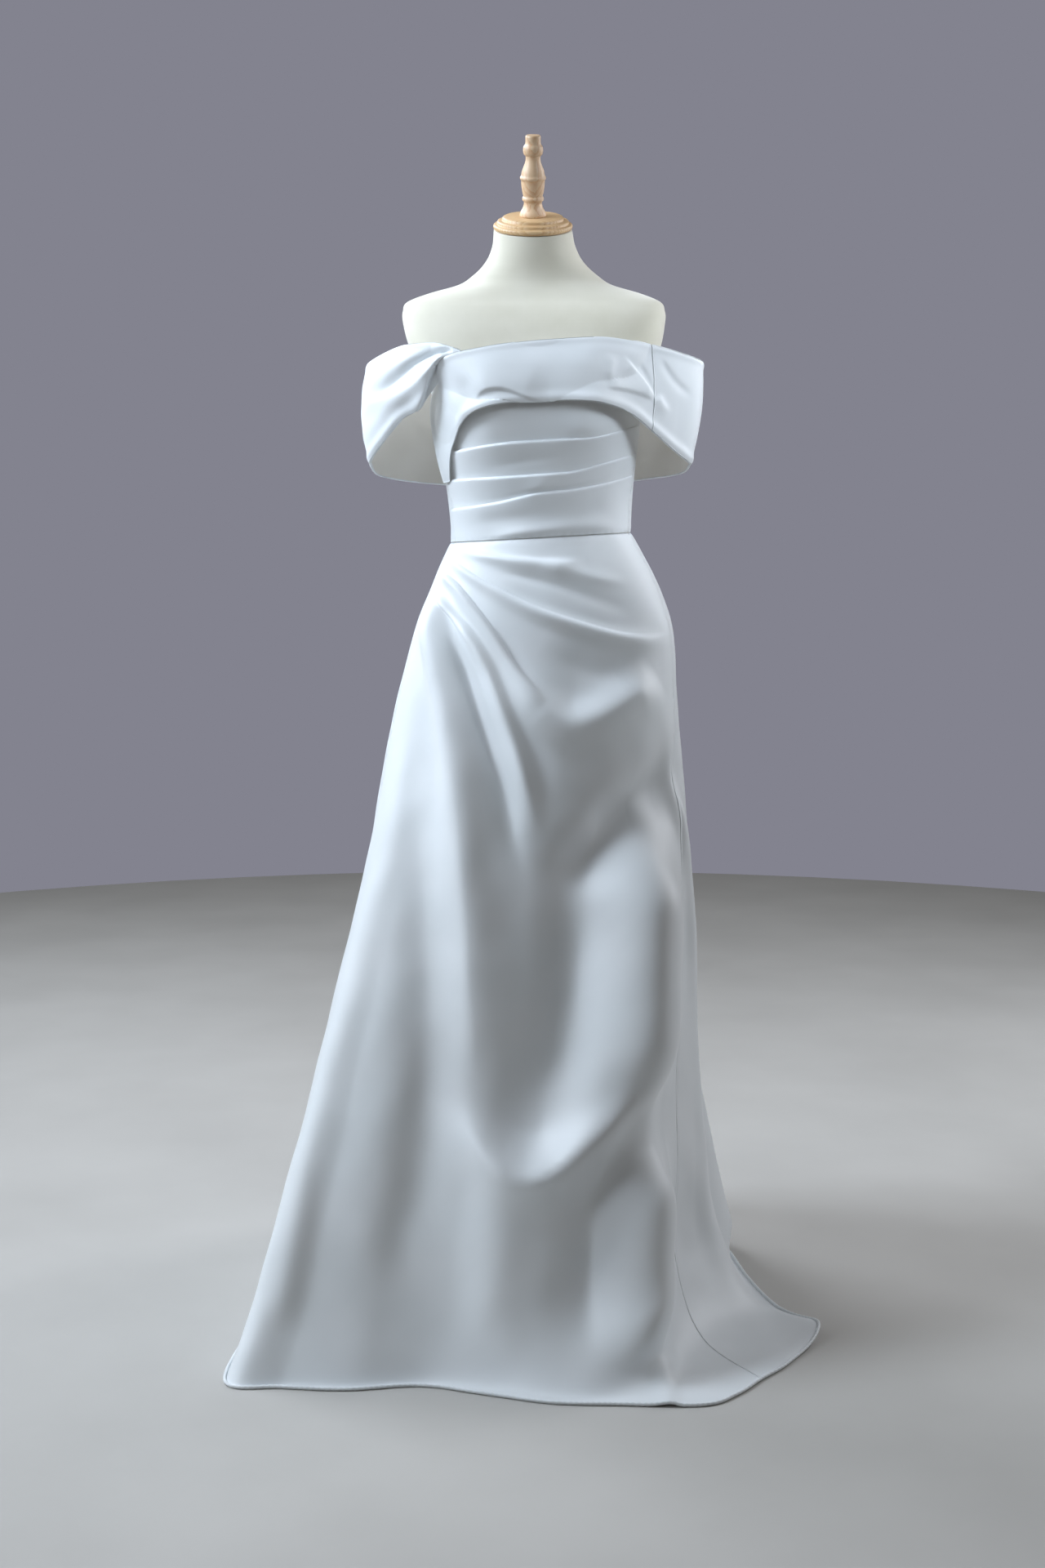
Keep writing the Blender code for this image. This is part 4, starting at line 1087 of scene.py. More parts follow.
@dataclass
class NeckTurnings:
    """The stepped oak cap on the neck and the beech finial on it."""

    finishes: Finishes
    steps: int = 96
    bevel: float = 0.0005
    bevel_angle: float = math.radians(35.0)
    smooth_angle: float = math.radians(50.0)
    finial_height: float = 0.108
    cap_top: float = 0.0175
    cap_profile: Path = (
        (0.0530, 0.0), (0.0548, 0.0015), (0.0555, 0.0045), (0.0545, 0.0068), (0.0512, 0.0076),
        (0.0502, 0.0080), (0.0500, 0.0105), (0.0490, 0.0116), (0.0465, 0.0123), (0.0432, 0.0127),
        (0.0428, 0.0150), (0.0420, 0.0165), (0.0400, 0.0175),
    )
    finial_profile: Path = (
        (0.0183, 0.0), (0.0184, 0.030), (0.0170, 0.060), (0.0150, 0.090), (0.0135, 0.120),
        (0.0127, 0.150), (0.0126, 0.178), (0.0129, 0.185), (0.0143, 0.194), (0.0149, 0.208),
        (0.0149, 0.224), (0.0144, 0.240), (0.0134, 0.248), (0.0135, 0.256), (0.0148, 0.300),
        (0.0158, 0.360), (0.0163, 0.410), (0.0165, 0.448), (0.0170, 0.454), (0.0178, 0.463),
        (0.0180, 0.476), (0.0178, 0.490), (0.0169, 0.500), (0.0165, 0.506), (0.0163, 0.520),
        (0.0150, 0.570), (0.0129, 0.618), (0.0112, 0.660), (0.0103, 0.700), (0.0101, 0.735),
        (0.0105, 0.748), (0.0122, 0.760), (0.0134, 0.780), (0.0139, 0.815), (0.0136, 0.845),
        (0.0128, 0.868), (0.0114, 0.884), (0.0107, 0.895), (0.0105, 0.930), (0.0106, 0.975),
        (0.0104, 0.990), (0.0095, 1.000),
    )

    def build(self) -> None:
        """Turn both and seat them on the leaning neck."""
        lean = Matrix.Rotation(TORSO.neck_lean, 4, "X")
        seat = Vector(TORSO.cap_centre)
        axis = lean @ Vector((0.0, 0.0, 1.0))
        cap = self.turn("oak_neck_cap", self.cap_profile, 1.0)
        cap.data.transform(Matrix.Translation(seat + axis * SEAT_GAP) @ lean)
        dress(cap, self.finishes.oak, "oak", "neck_cap")
        finial = self.turn("beech_finial", self.finial_profile, self.finial_height)
        finial.data.transform(Matrix.Translation(seat + axis * (self.cap_top + 2.0 * SEAT_GAP)) @ lean)
        dress(finial, self.finishes.beech, "beech", "neck_finial")

    def turn(self, name: str, profile: Path, tall: float) -> Piece:
        """Model a turning from a disc, extruded and resized ring by ring.

        Args:
            name: the piece's name.
            profile: radius and height of its rings, from the bottom up.
            tall: what the profile's heights are multiplied by.

        Returns:
            The new object, upright at the origin.
        """
        bpy.ops.object.select_all(action="DESELECT")
        rings = [Ring(*row) for row in profile]
        bpy.ops.mesh.primitive_circle_add(vertices=self.steps, radius=rings[0].radius, fill_type="NGON")
        piece = bpy.context.object
        piece.name = name
        piece.data.name = name
        edit_alone(piece, "SELECT")
        for below, ring in zip(rings, rings[1:]):
            rise = (ring.height - below.height) * tall
            bpy.ops.mesh.extrude_region_move(TRANSFORM_OT_translate={"value": (0.0, 0.0, rise)})
            share = ring.radius / below.radius
            middle = (0.0, 0.0, ring.height * tall)
            bpy.ops.transform.resize(value=(share, share, 1.0), center_override=middle)
        bpy.ops.mesh.select_all(action="SELECT")
        bpy.ops.mesh.normals_make_consistent(inside=False)
        bpy.ops.object.mode_set(mode="OBJECT")
        softened = piece.modifiers.new("softened_edges", "BEVEL")
        softened.width = self.bevel
        softened.segments = 2
        softened.limit_method = "ANGLE"
        softened.angle_limit = self.bevel_angle
        bpy.ops.object.modifier_apply(modifier=softened.name)
        bpy.ops.object.shade_smooth_by_angle(angle=self.smooth_angle)
        piece.select_set(False)
        return piece


@dataclass
class Stand:
    """Pole and base, which the skirt hides."""

    finishes: Finishes
    frame: dict

    def build(self) -> None:
        """Powder-coat the frame's own nodes."""
        coat(self.frame, self.finishes.steel, "stand_pole", "stand_base")


# ---------------- bodice

class Pleat(NamedTuple):
    """A pleat across the bodice, in millimetres: its folded edge's rise and path."""

    rise: float
    path: Path


BODICE_PLEATS = (
    Pleat(4.6, ((-120, 1149), (-47, 1159), (1, 1170), (58, 1177), (97, 1185), (145, 1200))),
    Pleat(4.8, ((-125, 1190), (-63, 1192), (17, 1197), (51, 1200), (97, 1213), (150, 1231))),
    Pleat(4.8, ((-130, 1226), (-31, 1239), (32, 1243), (85, 1247), (137, 1264), (155, 1272))),
)
PLEAT_MIDDLE = 2               # the path's point near the middle of the front

BODICE_CREASES = (
    Crease(3.4, 13, 8, ((-75, 1108), (-25, 1116), (33, 1123), (88, 1127), (120, 1128)), fades=(0.30, 0.30),
           opening=0.6),
    Crease(2.4, 7, 11, ((36, 1193), (7, 1179), (-18, 1168)), fades=(0.45, 0.50)),
    Swell(2.2, 12, ((40, 1254), (60, 1257), (84, 1256), (104, 1250))),
    Crease(-1.4, 6, 6, ((-70, 1205), (-10, 1215), (50, 1222))),
    Crease(-1.2, 8, 8, ((-95, 1132), (-40, 1136), (30, 1146))),
    Crease(1.4, 16, 16, ((100, 1135), (108, 1190), (112, 1240)), fades=(0.30, 0.30)),
    Crease(1.6, 8, 12, ((-60, 1118), (0, 1124), (60, 1122)), view=View.BACK),
    Crease(-1.2, 10, 10, ((20, 1150), (70, 1138), (110, 1142)), fades=(0.30, 0.50), view=View.BACK),
    Crease(-1.2, 10, 10, ((-15, 1158), (-60, 1146), (-100, 1151)), fades=(0.30, 0.50), view=View.BACK),
)


class BodicePanel(NamedTuple):
    """A panel without pleats: its node, the angles it runs between, its flat size and area."""

    node: str
    start: float
    end: float
    flat: tuple[float, float]
    area: float


@dataclass
class Bodice:
    """Front with its three pleats, the narrow side and both backs."""

    finishes: Finishes
    plain_panels: tuple[BodicePanel, ...] = (
        BodicePanel("bodice_side_left", SIDE_BACK_LEFT - 360.0, SIDE_FRONT_LEFT, (0.085, 0.23), 0.0152),
        BodicePanel("bodice_back_right", SIDE_RIGHT, CENTRE_BACK, (0.23, 0.24), 0.0480),
        BodicePanel("bodice_back_left", CENTRE_BACK, SIDE_BACK_LEFT, (0.17, 0.24), 0.0370),
    )
    sewn: tuple[Edge, ...] = (Edge.BOTTOM, Edge.START, Edge.END)
    top: float = 1.338
    top_dip: float = 0.022
    front_columns: int = 210
    least_columns: int = 24
    columns_per_degree: float = 0.75
    panel_rows: int = 64
    pleat_rows: tuple[int, ...] = (24, 24, 22, 30)     # below each pleat, and above the last
    pleat_root: float = 3.0                            # a pleat is full after a third of its way up
    pleat_fall: float = 0.022
    pleat_gap: float = 0.0001
    top_spacing: float = 1.3                           # above 1 the rows over the last pleat start close
    lip_rows: int = 6
    lip_height: float = 0.0012
    lip_roll: float = 0.0032
    lip_roll_share: float = 0.55
    fade_start: float = 0.020
    fade_run: float = 0.120
    fade_share: float = 0.72
    seam_depth: float = 0.0008
    seam_width: float = 0.004
    least_wall: float = 0.0004                         # at the deepest crease
    handling: Unevenness = Unevenness(3, 0.060, 0.00030)

    def build(self) -> None:
        """The four panels, each cut, pleated and sewn."""
        front = self.panel("bodice_front_satin", *self.front_grid())
        dress(front, self.finishes.satin, "satin", "bodice_front")
        for node, start, end, flat, area in self.plain_panels:
            piece = self.panel(f"{node}_satin", *self.plain_grid(start, end))
            dress(piece, self.finishes.satin, "satin", node)

    def upper_edge(self, angle: Grid) -> Grid:
        """Height of the bodice's upper edge, lower under the arms."""
        return self.top - self.top_dip * np.cos(np.radians(angle)) ** 4

    def lower_edge(self, angle: Grid) -> Grid:
        """Height of the bodice's lower edge at the waist seam."""
        x, _ = TORSO.point(angle, WAIST, WALL)
        return waist_height(x)

    def front_grid(self) -> tuple[Grid, Grid, Grid]:
        """Angles, heights and pleat relief of the front, with rows that follow the folded edges.

        Returns:
            Three grids whose rows run from the top down.
        """
        angles = np.linspace(SIDE_FRONT_LEFT, SIDE_RIGHT, self.front_columns)
        start = self.lower_edge(angles)
        heights = []
        relief = []
        for pleat, rows in zip(BODICE_PLEATS, self.pleat_rows):
            path = np.array(pleat.path) / METRE
            full = pleat.rise / METRE
            x, _ = TORSO.point(angles, path[PLEAT_MIDDLE][1], WALL)
            edge = through(path[:, 0], path[:, 1], x)
            rise = full * (1.0 - self.fade_share * smoothstep((x - self.fade_start) / self.fade_run))
            share = closer_at_ends(rows)
            level = start + (edge - start) * share[:, None]
            heights.append(level)
            rolled = 1.0 - np.sqrt(1.0 - (1.0 - np.clip((edge - level) / self.lip_roll, 0.0, 1.0)) ** 2)
            shape = bell(edge - level, self.pleat_fall) * smoothstep(share * self.pleat_root)[:, None]
            relief.append(rise * (shape - self.lip_roll_share * rolled))
            turn = np.linspace(0.0, math.pi, self.lip_rows + 2)[1:-1, None]
            heights.append(edge + self.lip_height * np.sin(turn) * rise / full)
            relief.append(rise * (1.0 - self.lip_roll_share) * (0.5 + 0.5 * np.cos(turn)))
            start = edge + self.pleat_gap
        share = np.linspace(0.0, 1.0, self.pleat_rows[-1]) ** self.top_spacing
        heights.append(start + (self.upper_edge(angles) - start) * share[:, None])
        relief.append(np.zeros((self.pleat_rows[-1], self.front_columns)))
        heights = np.concatenate(heights)[::-1]
        return np.broadcast_to(angles, heights.shape), heights, np.concatenate(relief)[::-1]

    def plain_grid(self, start: float, end: float) -> tuple[Grid, Grid, Grid]:
        """Angles, heights and an empty relief of a panel without pleats.

        Args:
            start: the angle where it begins.
            end: the angle where it ends.

        Returns:
            Three grids whose rows run from the top down.
        """
        columns = max(self.least_columns, int((end - start) * self.columns_per_degree))
        angles = np.linspace(start, end, columns)
        share = np.linspace(1.0, 0.0, self.panel_rows)[:, None]
        heights = self.lower_edge(angles) * (1.0 - share) + self.upper_edge(angles) * share
        return np.broadcast_to(angles, heights.shape), heights, np.zeros(heights.shape)

    def panel(self, name: str, angles: Grid, heights: Grid, pleated: Grid) -> Piece:
        """One panel as a closed shell of cloth on the form.

        Args:
            name: the piece's name.
            angles: angle of each point.
            heights: height of each point.
            pleated: how far the pleats stand out.

        Returns:
            The new object.
        """
        radians = np.radians(angles)
        outward = np.stack([np.cos(radians), np.sin(radians), 0.0 * radians], axis=-1)
        x, y = TORSO.point(angles, heights, FORM_CLEARANCE + WALL)
        base = np.stack([x, y, heights], axis=-1)
        relief = pleated + crease_relief(BODICE_CREASES, base, outward)
        relief = relief + self.handling.height(base)
        relief = relief + edge_dip(base, self.sewn, self.seam_depth, self.seam_width)
        outer = base + outward * np.maximum(relief, self.least_wall - WALL)[..., None]
        levels = np.linspace(1.0, 0.0, len(heights))[:, None]
        level = heights[-1] * (1.0 - levels) + heights[0] * levels
        x, y = TORSO.point(angles, level, FORM_CLEARANCE)
        inner = np.stack([x, y, level], axis=-1)
        return closed_shell(name, outer, inner, join_edges(outer, inner, WALL, self.sewn, ()))


# ---------------- skirt

class SkirtRing(NamedTuple):
    """A level ring of the skirt above the hip."""

    height: float
    centre: float
    half_width: float
    front: float
    back: float


SKIRT_RINGS = (
    SkirtRing(1.060, 0.0170, 0.1535, 0.110, 0.106),
    SkirtRing(0.990, 0.0165, 0.1810, 0.121, 0.123),
    SkirtRing(0.900, 0.0080, 0.1975, 0.136, 0.138),
)


class Fall(NamedTuple):
    """One line of the skirt's fall, from the left seam across the front and round the back."""

    name: str
    waist_angle: float
    hip_angle: float
    foot_x: float
    foot_y: float
    hem_x: float
    hem_y: float
    flare: float
    swell: float


FALLS = (
    Fall("seam_left", -163, -172, -0.396, -0.215, -0.404, -0.225, 1.10, 0.0),
    Fall("corner_left", -152, -153, -0.398, -0.346, -0.407, -0.355, 1.12, -0.002),
    Fall("front_1", -141, -137, -0.322, -0.350, -0.333, -0.367, 1.08, 0.0),
    Fall("front_2", -129, -121, -0.238, -0.352, -0.246, -0.374, 1.04, 0.0),
    Fall("front_3", -115, -107, -0.148, -0.340, -0.150, -0.362, 1.02, 0.0),
    Fall("front_4", -100, -94, -0.064, -0.350, -0.064, -0.387, 1.00, 0.0),
    Fall("front_5", -83, -80, 0.018, -0.368, 0.021, -0.413, 1.00, 0.0),
    Fall("front_6", -64, -63, 0.094, -0.372, 0.106, -0.418, 1.00, 0.0),
    Fall("ridge_right", -44, -44, 0.152, -0.326, 0.219, -0.420, 1.00, 0.0),
    Fall("valley_right", -28, -28, 0.176, -0.240, 0.266, -0.388, 1.00, 0.0),
    Fall("seam_right", -14, -14, 0.204, -0.176, 0.303, -0.342, 1.05, 0.004),
    Fall("train_1", -3, 0, 0.246, -0.122, 0.348, -0.288, 1.40, 0.012),
    Fall("train_tip", 8, 13, 0.288, -0.086, 0.402, -0.188, 1.70, 0.018),
    Fall("train_2", 22, 27, 0.298, -0.034, 0.354, -0.096, 1.70, 0.018),
    Fall("train_3", 35, 40, 0.301, 0.040, 0.325, 0.014, 1.55, 0.012),
    Fall("back_1", 48, 52, 0.288, 0.136, 0.304, 0.140, 1.30, 0.006),
    Fall("back_2", 62, 65, 0.240, 0.246, 0.262, 0.290, 1.20, 0.0),
    Fall("back_3", 77, 78, 0.142, 0.330, 0.160, 0.420, 1.15, 0.0),
    Fall("seam_back", 90, 90, 0.024, 0.366, 0.030, 0.480, 1.15, 0.0),
    Fall("back_4", 103, 102, -0.090, 0.346, -0.104, 0.460, 1.15, 0.0),
    Fall("back_5", 117, 115, -0.190, 0.290, -0.214, 0.372, 1.15, 0.0),
    Fall("back_6", 131, 130, -0.268, 0.200, -0.290, 0.248, 1.12, 0.0),
    Fall("back_7", 145, 145, -0.326, 0.082, -0.340, 0.104, 1.10, 0.0),
    Fall("back_8", 160, 160, -0.368, -0.062, -0.378, -0.060, 1.10, 0.0),
    Fall("back_9", 178, 174, -0.385, -0.140, -0.394, -0.145, 1.10, 0.0),
)
NET_OVERLAP = 3                # falls repeated past both ends, so that the skirt closes
FALL_NAMES = [fall.name for fall in FALLS]
SEAM_RIGHT_LINE = FALL_NAMES.index("seam_right")
TRAIN_TIP_LINE = FALL_NAMES.index("train_tip")
SEAM_BACK_LINE = FALL_NAMES.index("seam_back")
FALL_HEIGHTS = (0.68, 0.45, 0.24, 0.08)
# Where each point of a fall lies on the way down: waist, skirt rings, fall heights, foot and hem.
FALL_STEPS = (0.0, 0.05, 0.12, 0.20, 0.38, 0.57, 0.745, 0.875, 0.945, 1.0)


class Fold(NamedTuple):
    """A soft fold that opens towards the hem: its line, half width in lines, depth and first step."""

    at: float
    half_width: float
    depth: float
    start: float


FALL_FOLDS = (
    Fold(13.7, 0.50, -0.018, 0.24),
    Fold(15.0, 0.66, 0.030, 0.20),
    Fold(16.4, 0.62, -0.034, 0.16),
    Fold(17.6, 0.62, 0.034, 0.14),
    Fold(18.9, 0.60, -0.032, 0.16),
    Fold(20.2, 0.62, 0.036, 0.15),
    Fold(21.5, 0.58, -0.030, 0.18),
    Fold(22.8, 0.60, 0.024, 0.22),
)

HIP_CREASES = (
    Crease(6.2, 7, 13, ((-104, 1095), (-87, 1090), (-55, 1083), (-23, 1078), (16, 1074), (46, 1073),
           (74, 1078)), fades=(0.35, 0.25), opening=0.5),
    Crease(3.4, 10, 9, ((6, 1073), (36, 1065), (70, 1058), (110, 1050), (140, 1046)), fades=(0.25, 0.40)),
    Crease(-3, 12, 14, ((-60, 1066), (-10, 1056), (50, 1040), (110, 1018), (150, 1008)), fades=(0.30, 0.40),
           opening=0.5),
    Crease(6, 4.5, 22, ((-117, 1080), (-83, 1057), (-53, 1040), (3, 1013), (69, 990), (123, 975), (160, 972),
           (192, 975)), Profile.LIP_ABOVE, fades=(0.10, 0.30), opening=0.35),
    Crease(7, 14, 16, ((-50, 1036), (3, 1010), (69, 985), (123, 970), (160, 968), (192, 972)),
           fades=(0.35, 0.35), opening=0.5),
    Crease(-6, 24, 20, ((10, 968), (60, 938), (105, 925), (150, 936)), fades=(0.40, 0.35)),
    Crease(11, 6.5, 30, ((-128, 1063), (-105, 1043), (-86, 1020), (-53, 976), (-30, 939), (4, 898),
           (20, 882)), Profile.LIP_ABOVE, fades=(0.08, 0.35), opening=0.30),
    Crease(22, 28, 32, ((-44, 945), (-18, 905), (14, 870), (49, 853), (88, 862), (130, 888), (176, 915)),
           fades=(0.35, 0.14)),
    Crease(6, 12, 4.5, ((-139, 1045), (-128, 1022), (-110, 999), (-93, 977), (-78, 950)), Profile.LIP_BELOW,
           fades=(0.10, 0.30), opening=0.5),
    Crease(15, 15, 17, ((-115, 1008), (-85, 970), (-62, 930), (-40, 870), (-18, 805), (-4, 750), (4, 695)),
           fades=(0.25, 0.30), opening=0.50),
    Crease(-9, 15, 17, ((-124, 990), (-100, 940), (-83, 890), (-60, 820), (-42, 765), (-26, 690), (-8, 620)),
           fades=(0.25, 0.40), opening=0.45),
    Crease(24, 56, 36, ((-146, 1035), (-142, 980), (-131, 930), (-114, 840), (-101, 740), (-90, 620),
           (-80, 500), (-74, 400), (-66, 320)), fades=(0.06, 0.30), opening=0.35),
    Swell(-13, 36, ((-158, 920), (-162, 820), (-158, 700), (-150, 580), (-146, 460), (-146, 360),
          (-158, 260), (-180, 150), (-200, 40)), fades=(0.20, 0.20)),
)

FALL_CREASES = (
    Swell(-13, 46, ((46, 776), (76, 744), (110, 742), (150, 772)), fades=(0.30, 0.25)),
    Swell(-33, 38, ((8, 680), (36, 662), (62, 664), (96, 694), (134, 732), (180, 775), (215, 810)),
          fades=(0.40, 0.25)),
    Swell(-28, 46, ((44, 650), (54, 580), (50, 500), (36, 430), (6, 370), (-20, 320)), fades=(0.20, 0.20)),
    Swell(44, 42, ((160, 725), (152, 660), (146, 590), (143, 510), (141, 440), (136, 390), (118, 344)),
          fades=(0.30, 0.20)),
    Crease(11, 26, 40, ((166, 700), (158, 640), (154, 580), (152, 500), (151, 440), (150, 390), (150, 340)),
           fades=(0.30, 0.30)),
    Swell(24, 36, ((-106, 366), (-84, 318), (-50, 274), (-8, 250), (36, 262), (74, 296), (108, 326),
          (142, 352)), fades=(0.24, 0.24)),
    Crease(11, 24, 13, ((-100, 352), (-76, 312), (-46, 276), (-8, 258), (34, 272), (72, 306), (110, 340),
           (148, 372), (176, 398)), fades=(0.30, 0.30)),
    Swell(-10, 28, ((-40, 340), (-16, 318), (10, 322), (40, 350)), fades=(0.35, 0.40)),
    Swell(-24, 36, ((40, 200), (80, 240), (118, 290), (150, 330)), fades=(0.30, 0.30)),
    Swell(40, 32, ((152, 310), (147, 240), (143, 180), (140, 120), (144, 20)), fades=(0.30, 0.10)),
    Crease(8, 24, 36, ((152, 320), (151, 240), (150, 180), (150, 120), (152, 30)), fades=(0.35, 0.15)),
    Swell(-30, 40, ((94, 230), (80, 170), (70, 110), (62, 30)), fades=(0.30, 0.40)),
    Swell(17, 44, ((-60, 270), (-46, 200), (-46, 130), (-56, 40)), fades=(0.25, 0.15)),
    Crease(6, 20, 20, ((-300, 300), (-320, 180), (-345, 60)), fades=(0.50, 0.20)),
)

BACK_CREASES = (
    Crease(7, 8, 26, ((-138, 1046), (-104, 1018), (-64, 1000), (-20, 992)), fades=(0.20, 0.50), opening=0.4,
           view=View.BACK),
    Crease(6, 8, 24, ((146, 1040), (112, 1006), (76, 986), (34, 978)), fades=(0.20, 0.50), opening=0.4,
           view=View.BACK),
    Crease(-8, 20, 24, ((26, 940), (80, 908), (135, 925)), view=View.BACK),
    Crease(15, 26, 34, ((-120, 930), (-128, 780), (-140, 620), (-160, 430), (-190, 240)), fades=(0.30, 0.40),
           opening=0.5, view=View.BACK),
    Crease(-14, 28, 28, ((-70, 860), (-74, 680), (-84, 500), (-100, 300)), opening=0.6, view=View.BACK),
    Crease(14, 28, 26, ((118, 900), (122, 740), (130, 560), (140, 380)), fades=(0.30, 0.50), opening=0.5,
           view=View.BACK),
    Crease(-12, 24, 28, ((66, 840), (72, 680), (80, 500), (90, 330)), opening=0.6, view=View.BACK),
    Crease(16, 22, 36, ((-210, 340), (-150, 280), (-80, 270), (-10, 330), (30, 420)), fades=(0.35, 0.40),
           view=View.BACK),
    Crease(11, 24, 28, ((-60, 860), (-50, 680), (-30, 480), (-20, 280)), fades=(0.30, 0.50), opening=0.5,
           view=View.RIGHT),
    Crease(-11, 24, 26, ((50, 820), (64, 640), (90, 440)), opening=0.6, view=View.RIGHT),
    Crease(13, 24, 32, ((30, 860), (34, 680), (50, 480), (70, 300)), fades=(0.30, 0.50), opening=0.5,
           view=View.LEFT),
    Crease(-12, 26, 26, ((-36, 740), (-60, 540), (-90, 320)), opening=0.6, view=View.LEFT),
)

FLOOR_CREASES = (
    Crease(20, 7, 14, ((142, 46), (158, 30), (176, 17), (196, 9)), fades=(0.25, 0.40)),
)


class Ripple(NamedTuple):
    """A slow swing along the hem: how strong, over which length and where it starts."""

    share: float
    length: float
    phase: float = 0.0

    def at(self, stations: Grid) -> Grid:
        """The swing at places along the hem."""
        return self.share * np.sin(stations / self.length + self.phase)


@dataclass(frozen=True)
class RolledHem:
    """The narrow rolled hem, puckered like a rope by its stitches."""

    radius: float = 0.0021
    sides: int = 10
    pucker: float = 0.0075             # length of one turn of the rope
    pucker_steps: float = 6.0
    pucker_depth: float = 0.17
    drifts: tuple[Ripple, ...] = (Ripple(0.6, 0.021, 1.0), Ripple(0.4, 0.0087))
    drift_turn: float = 1.5
    swelling: Ripple = Ripple(0.05, 0.034)
    end_share: float = 0.3

    def build(self, name: str, line: Grid) -> Piece:
        """Roll the hem along a line.

        Args:
            name: the piece's name.
            line: the middle of the cloth's lowest row.

        Returns:
            The new object.
        """
        run = lengths_of(line[None], 1)[0]
        stations = np.linspace(0.0, run[-1], int(run[-1] / (self.pucker / self.pucker_steps)))
        path = np.stack([np.interp(stations, run, line[:, axis]) for axis in range(3)], axis=-1)
        along = unit(np.gradient(path, axis=0))
        side = unit(np.cross(along, (0.0, 0.0, 1.0)))
        up = np.cross(side, along)
        drift = sum(ripple.at(stations) for ripple in self.drifts)
        twist = 2.0 * math.pi * stations / self.pucker + self.drift_turn * drift
        turn = 2.0 * math.pi * np.arange(self.sides) / self.sides
        rope = 1.0 + self.pucker_depth * np.sin(twist[:, None] + turn[None, :])
        reach = self.radius * (1.0 + self.swelling.at(stations))[:, None] * rope
        rings = (path[:, None] + side[:, None] * (reach * np.cos(turn))[..., None]
                 + up[:, None] * (reach * np.sin(turn))[..., None])
        rings[..., 2] += self.radius - np.minimum(path[:, None, 2], 0.0)
        rings[..., 2] = np.maximum(rings[..., 2], 0.0)
        for end in (0, -1):
            middle = rings[end].mean(axis=0)
            rings[end] = middle + (rings[end] - middle) * self.end_share
        flat = np.stack(np.broadcast_arrays(stations[:, None], self.radius * turn[None, :]), axis=-1)
        hem = mesh_object(name, rings.reshape(-1, 3), tube_quads(len(rings), self.sides), flat.reshape(-1, 2))
        close_ends(hem)
        return hem


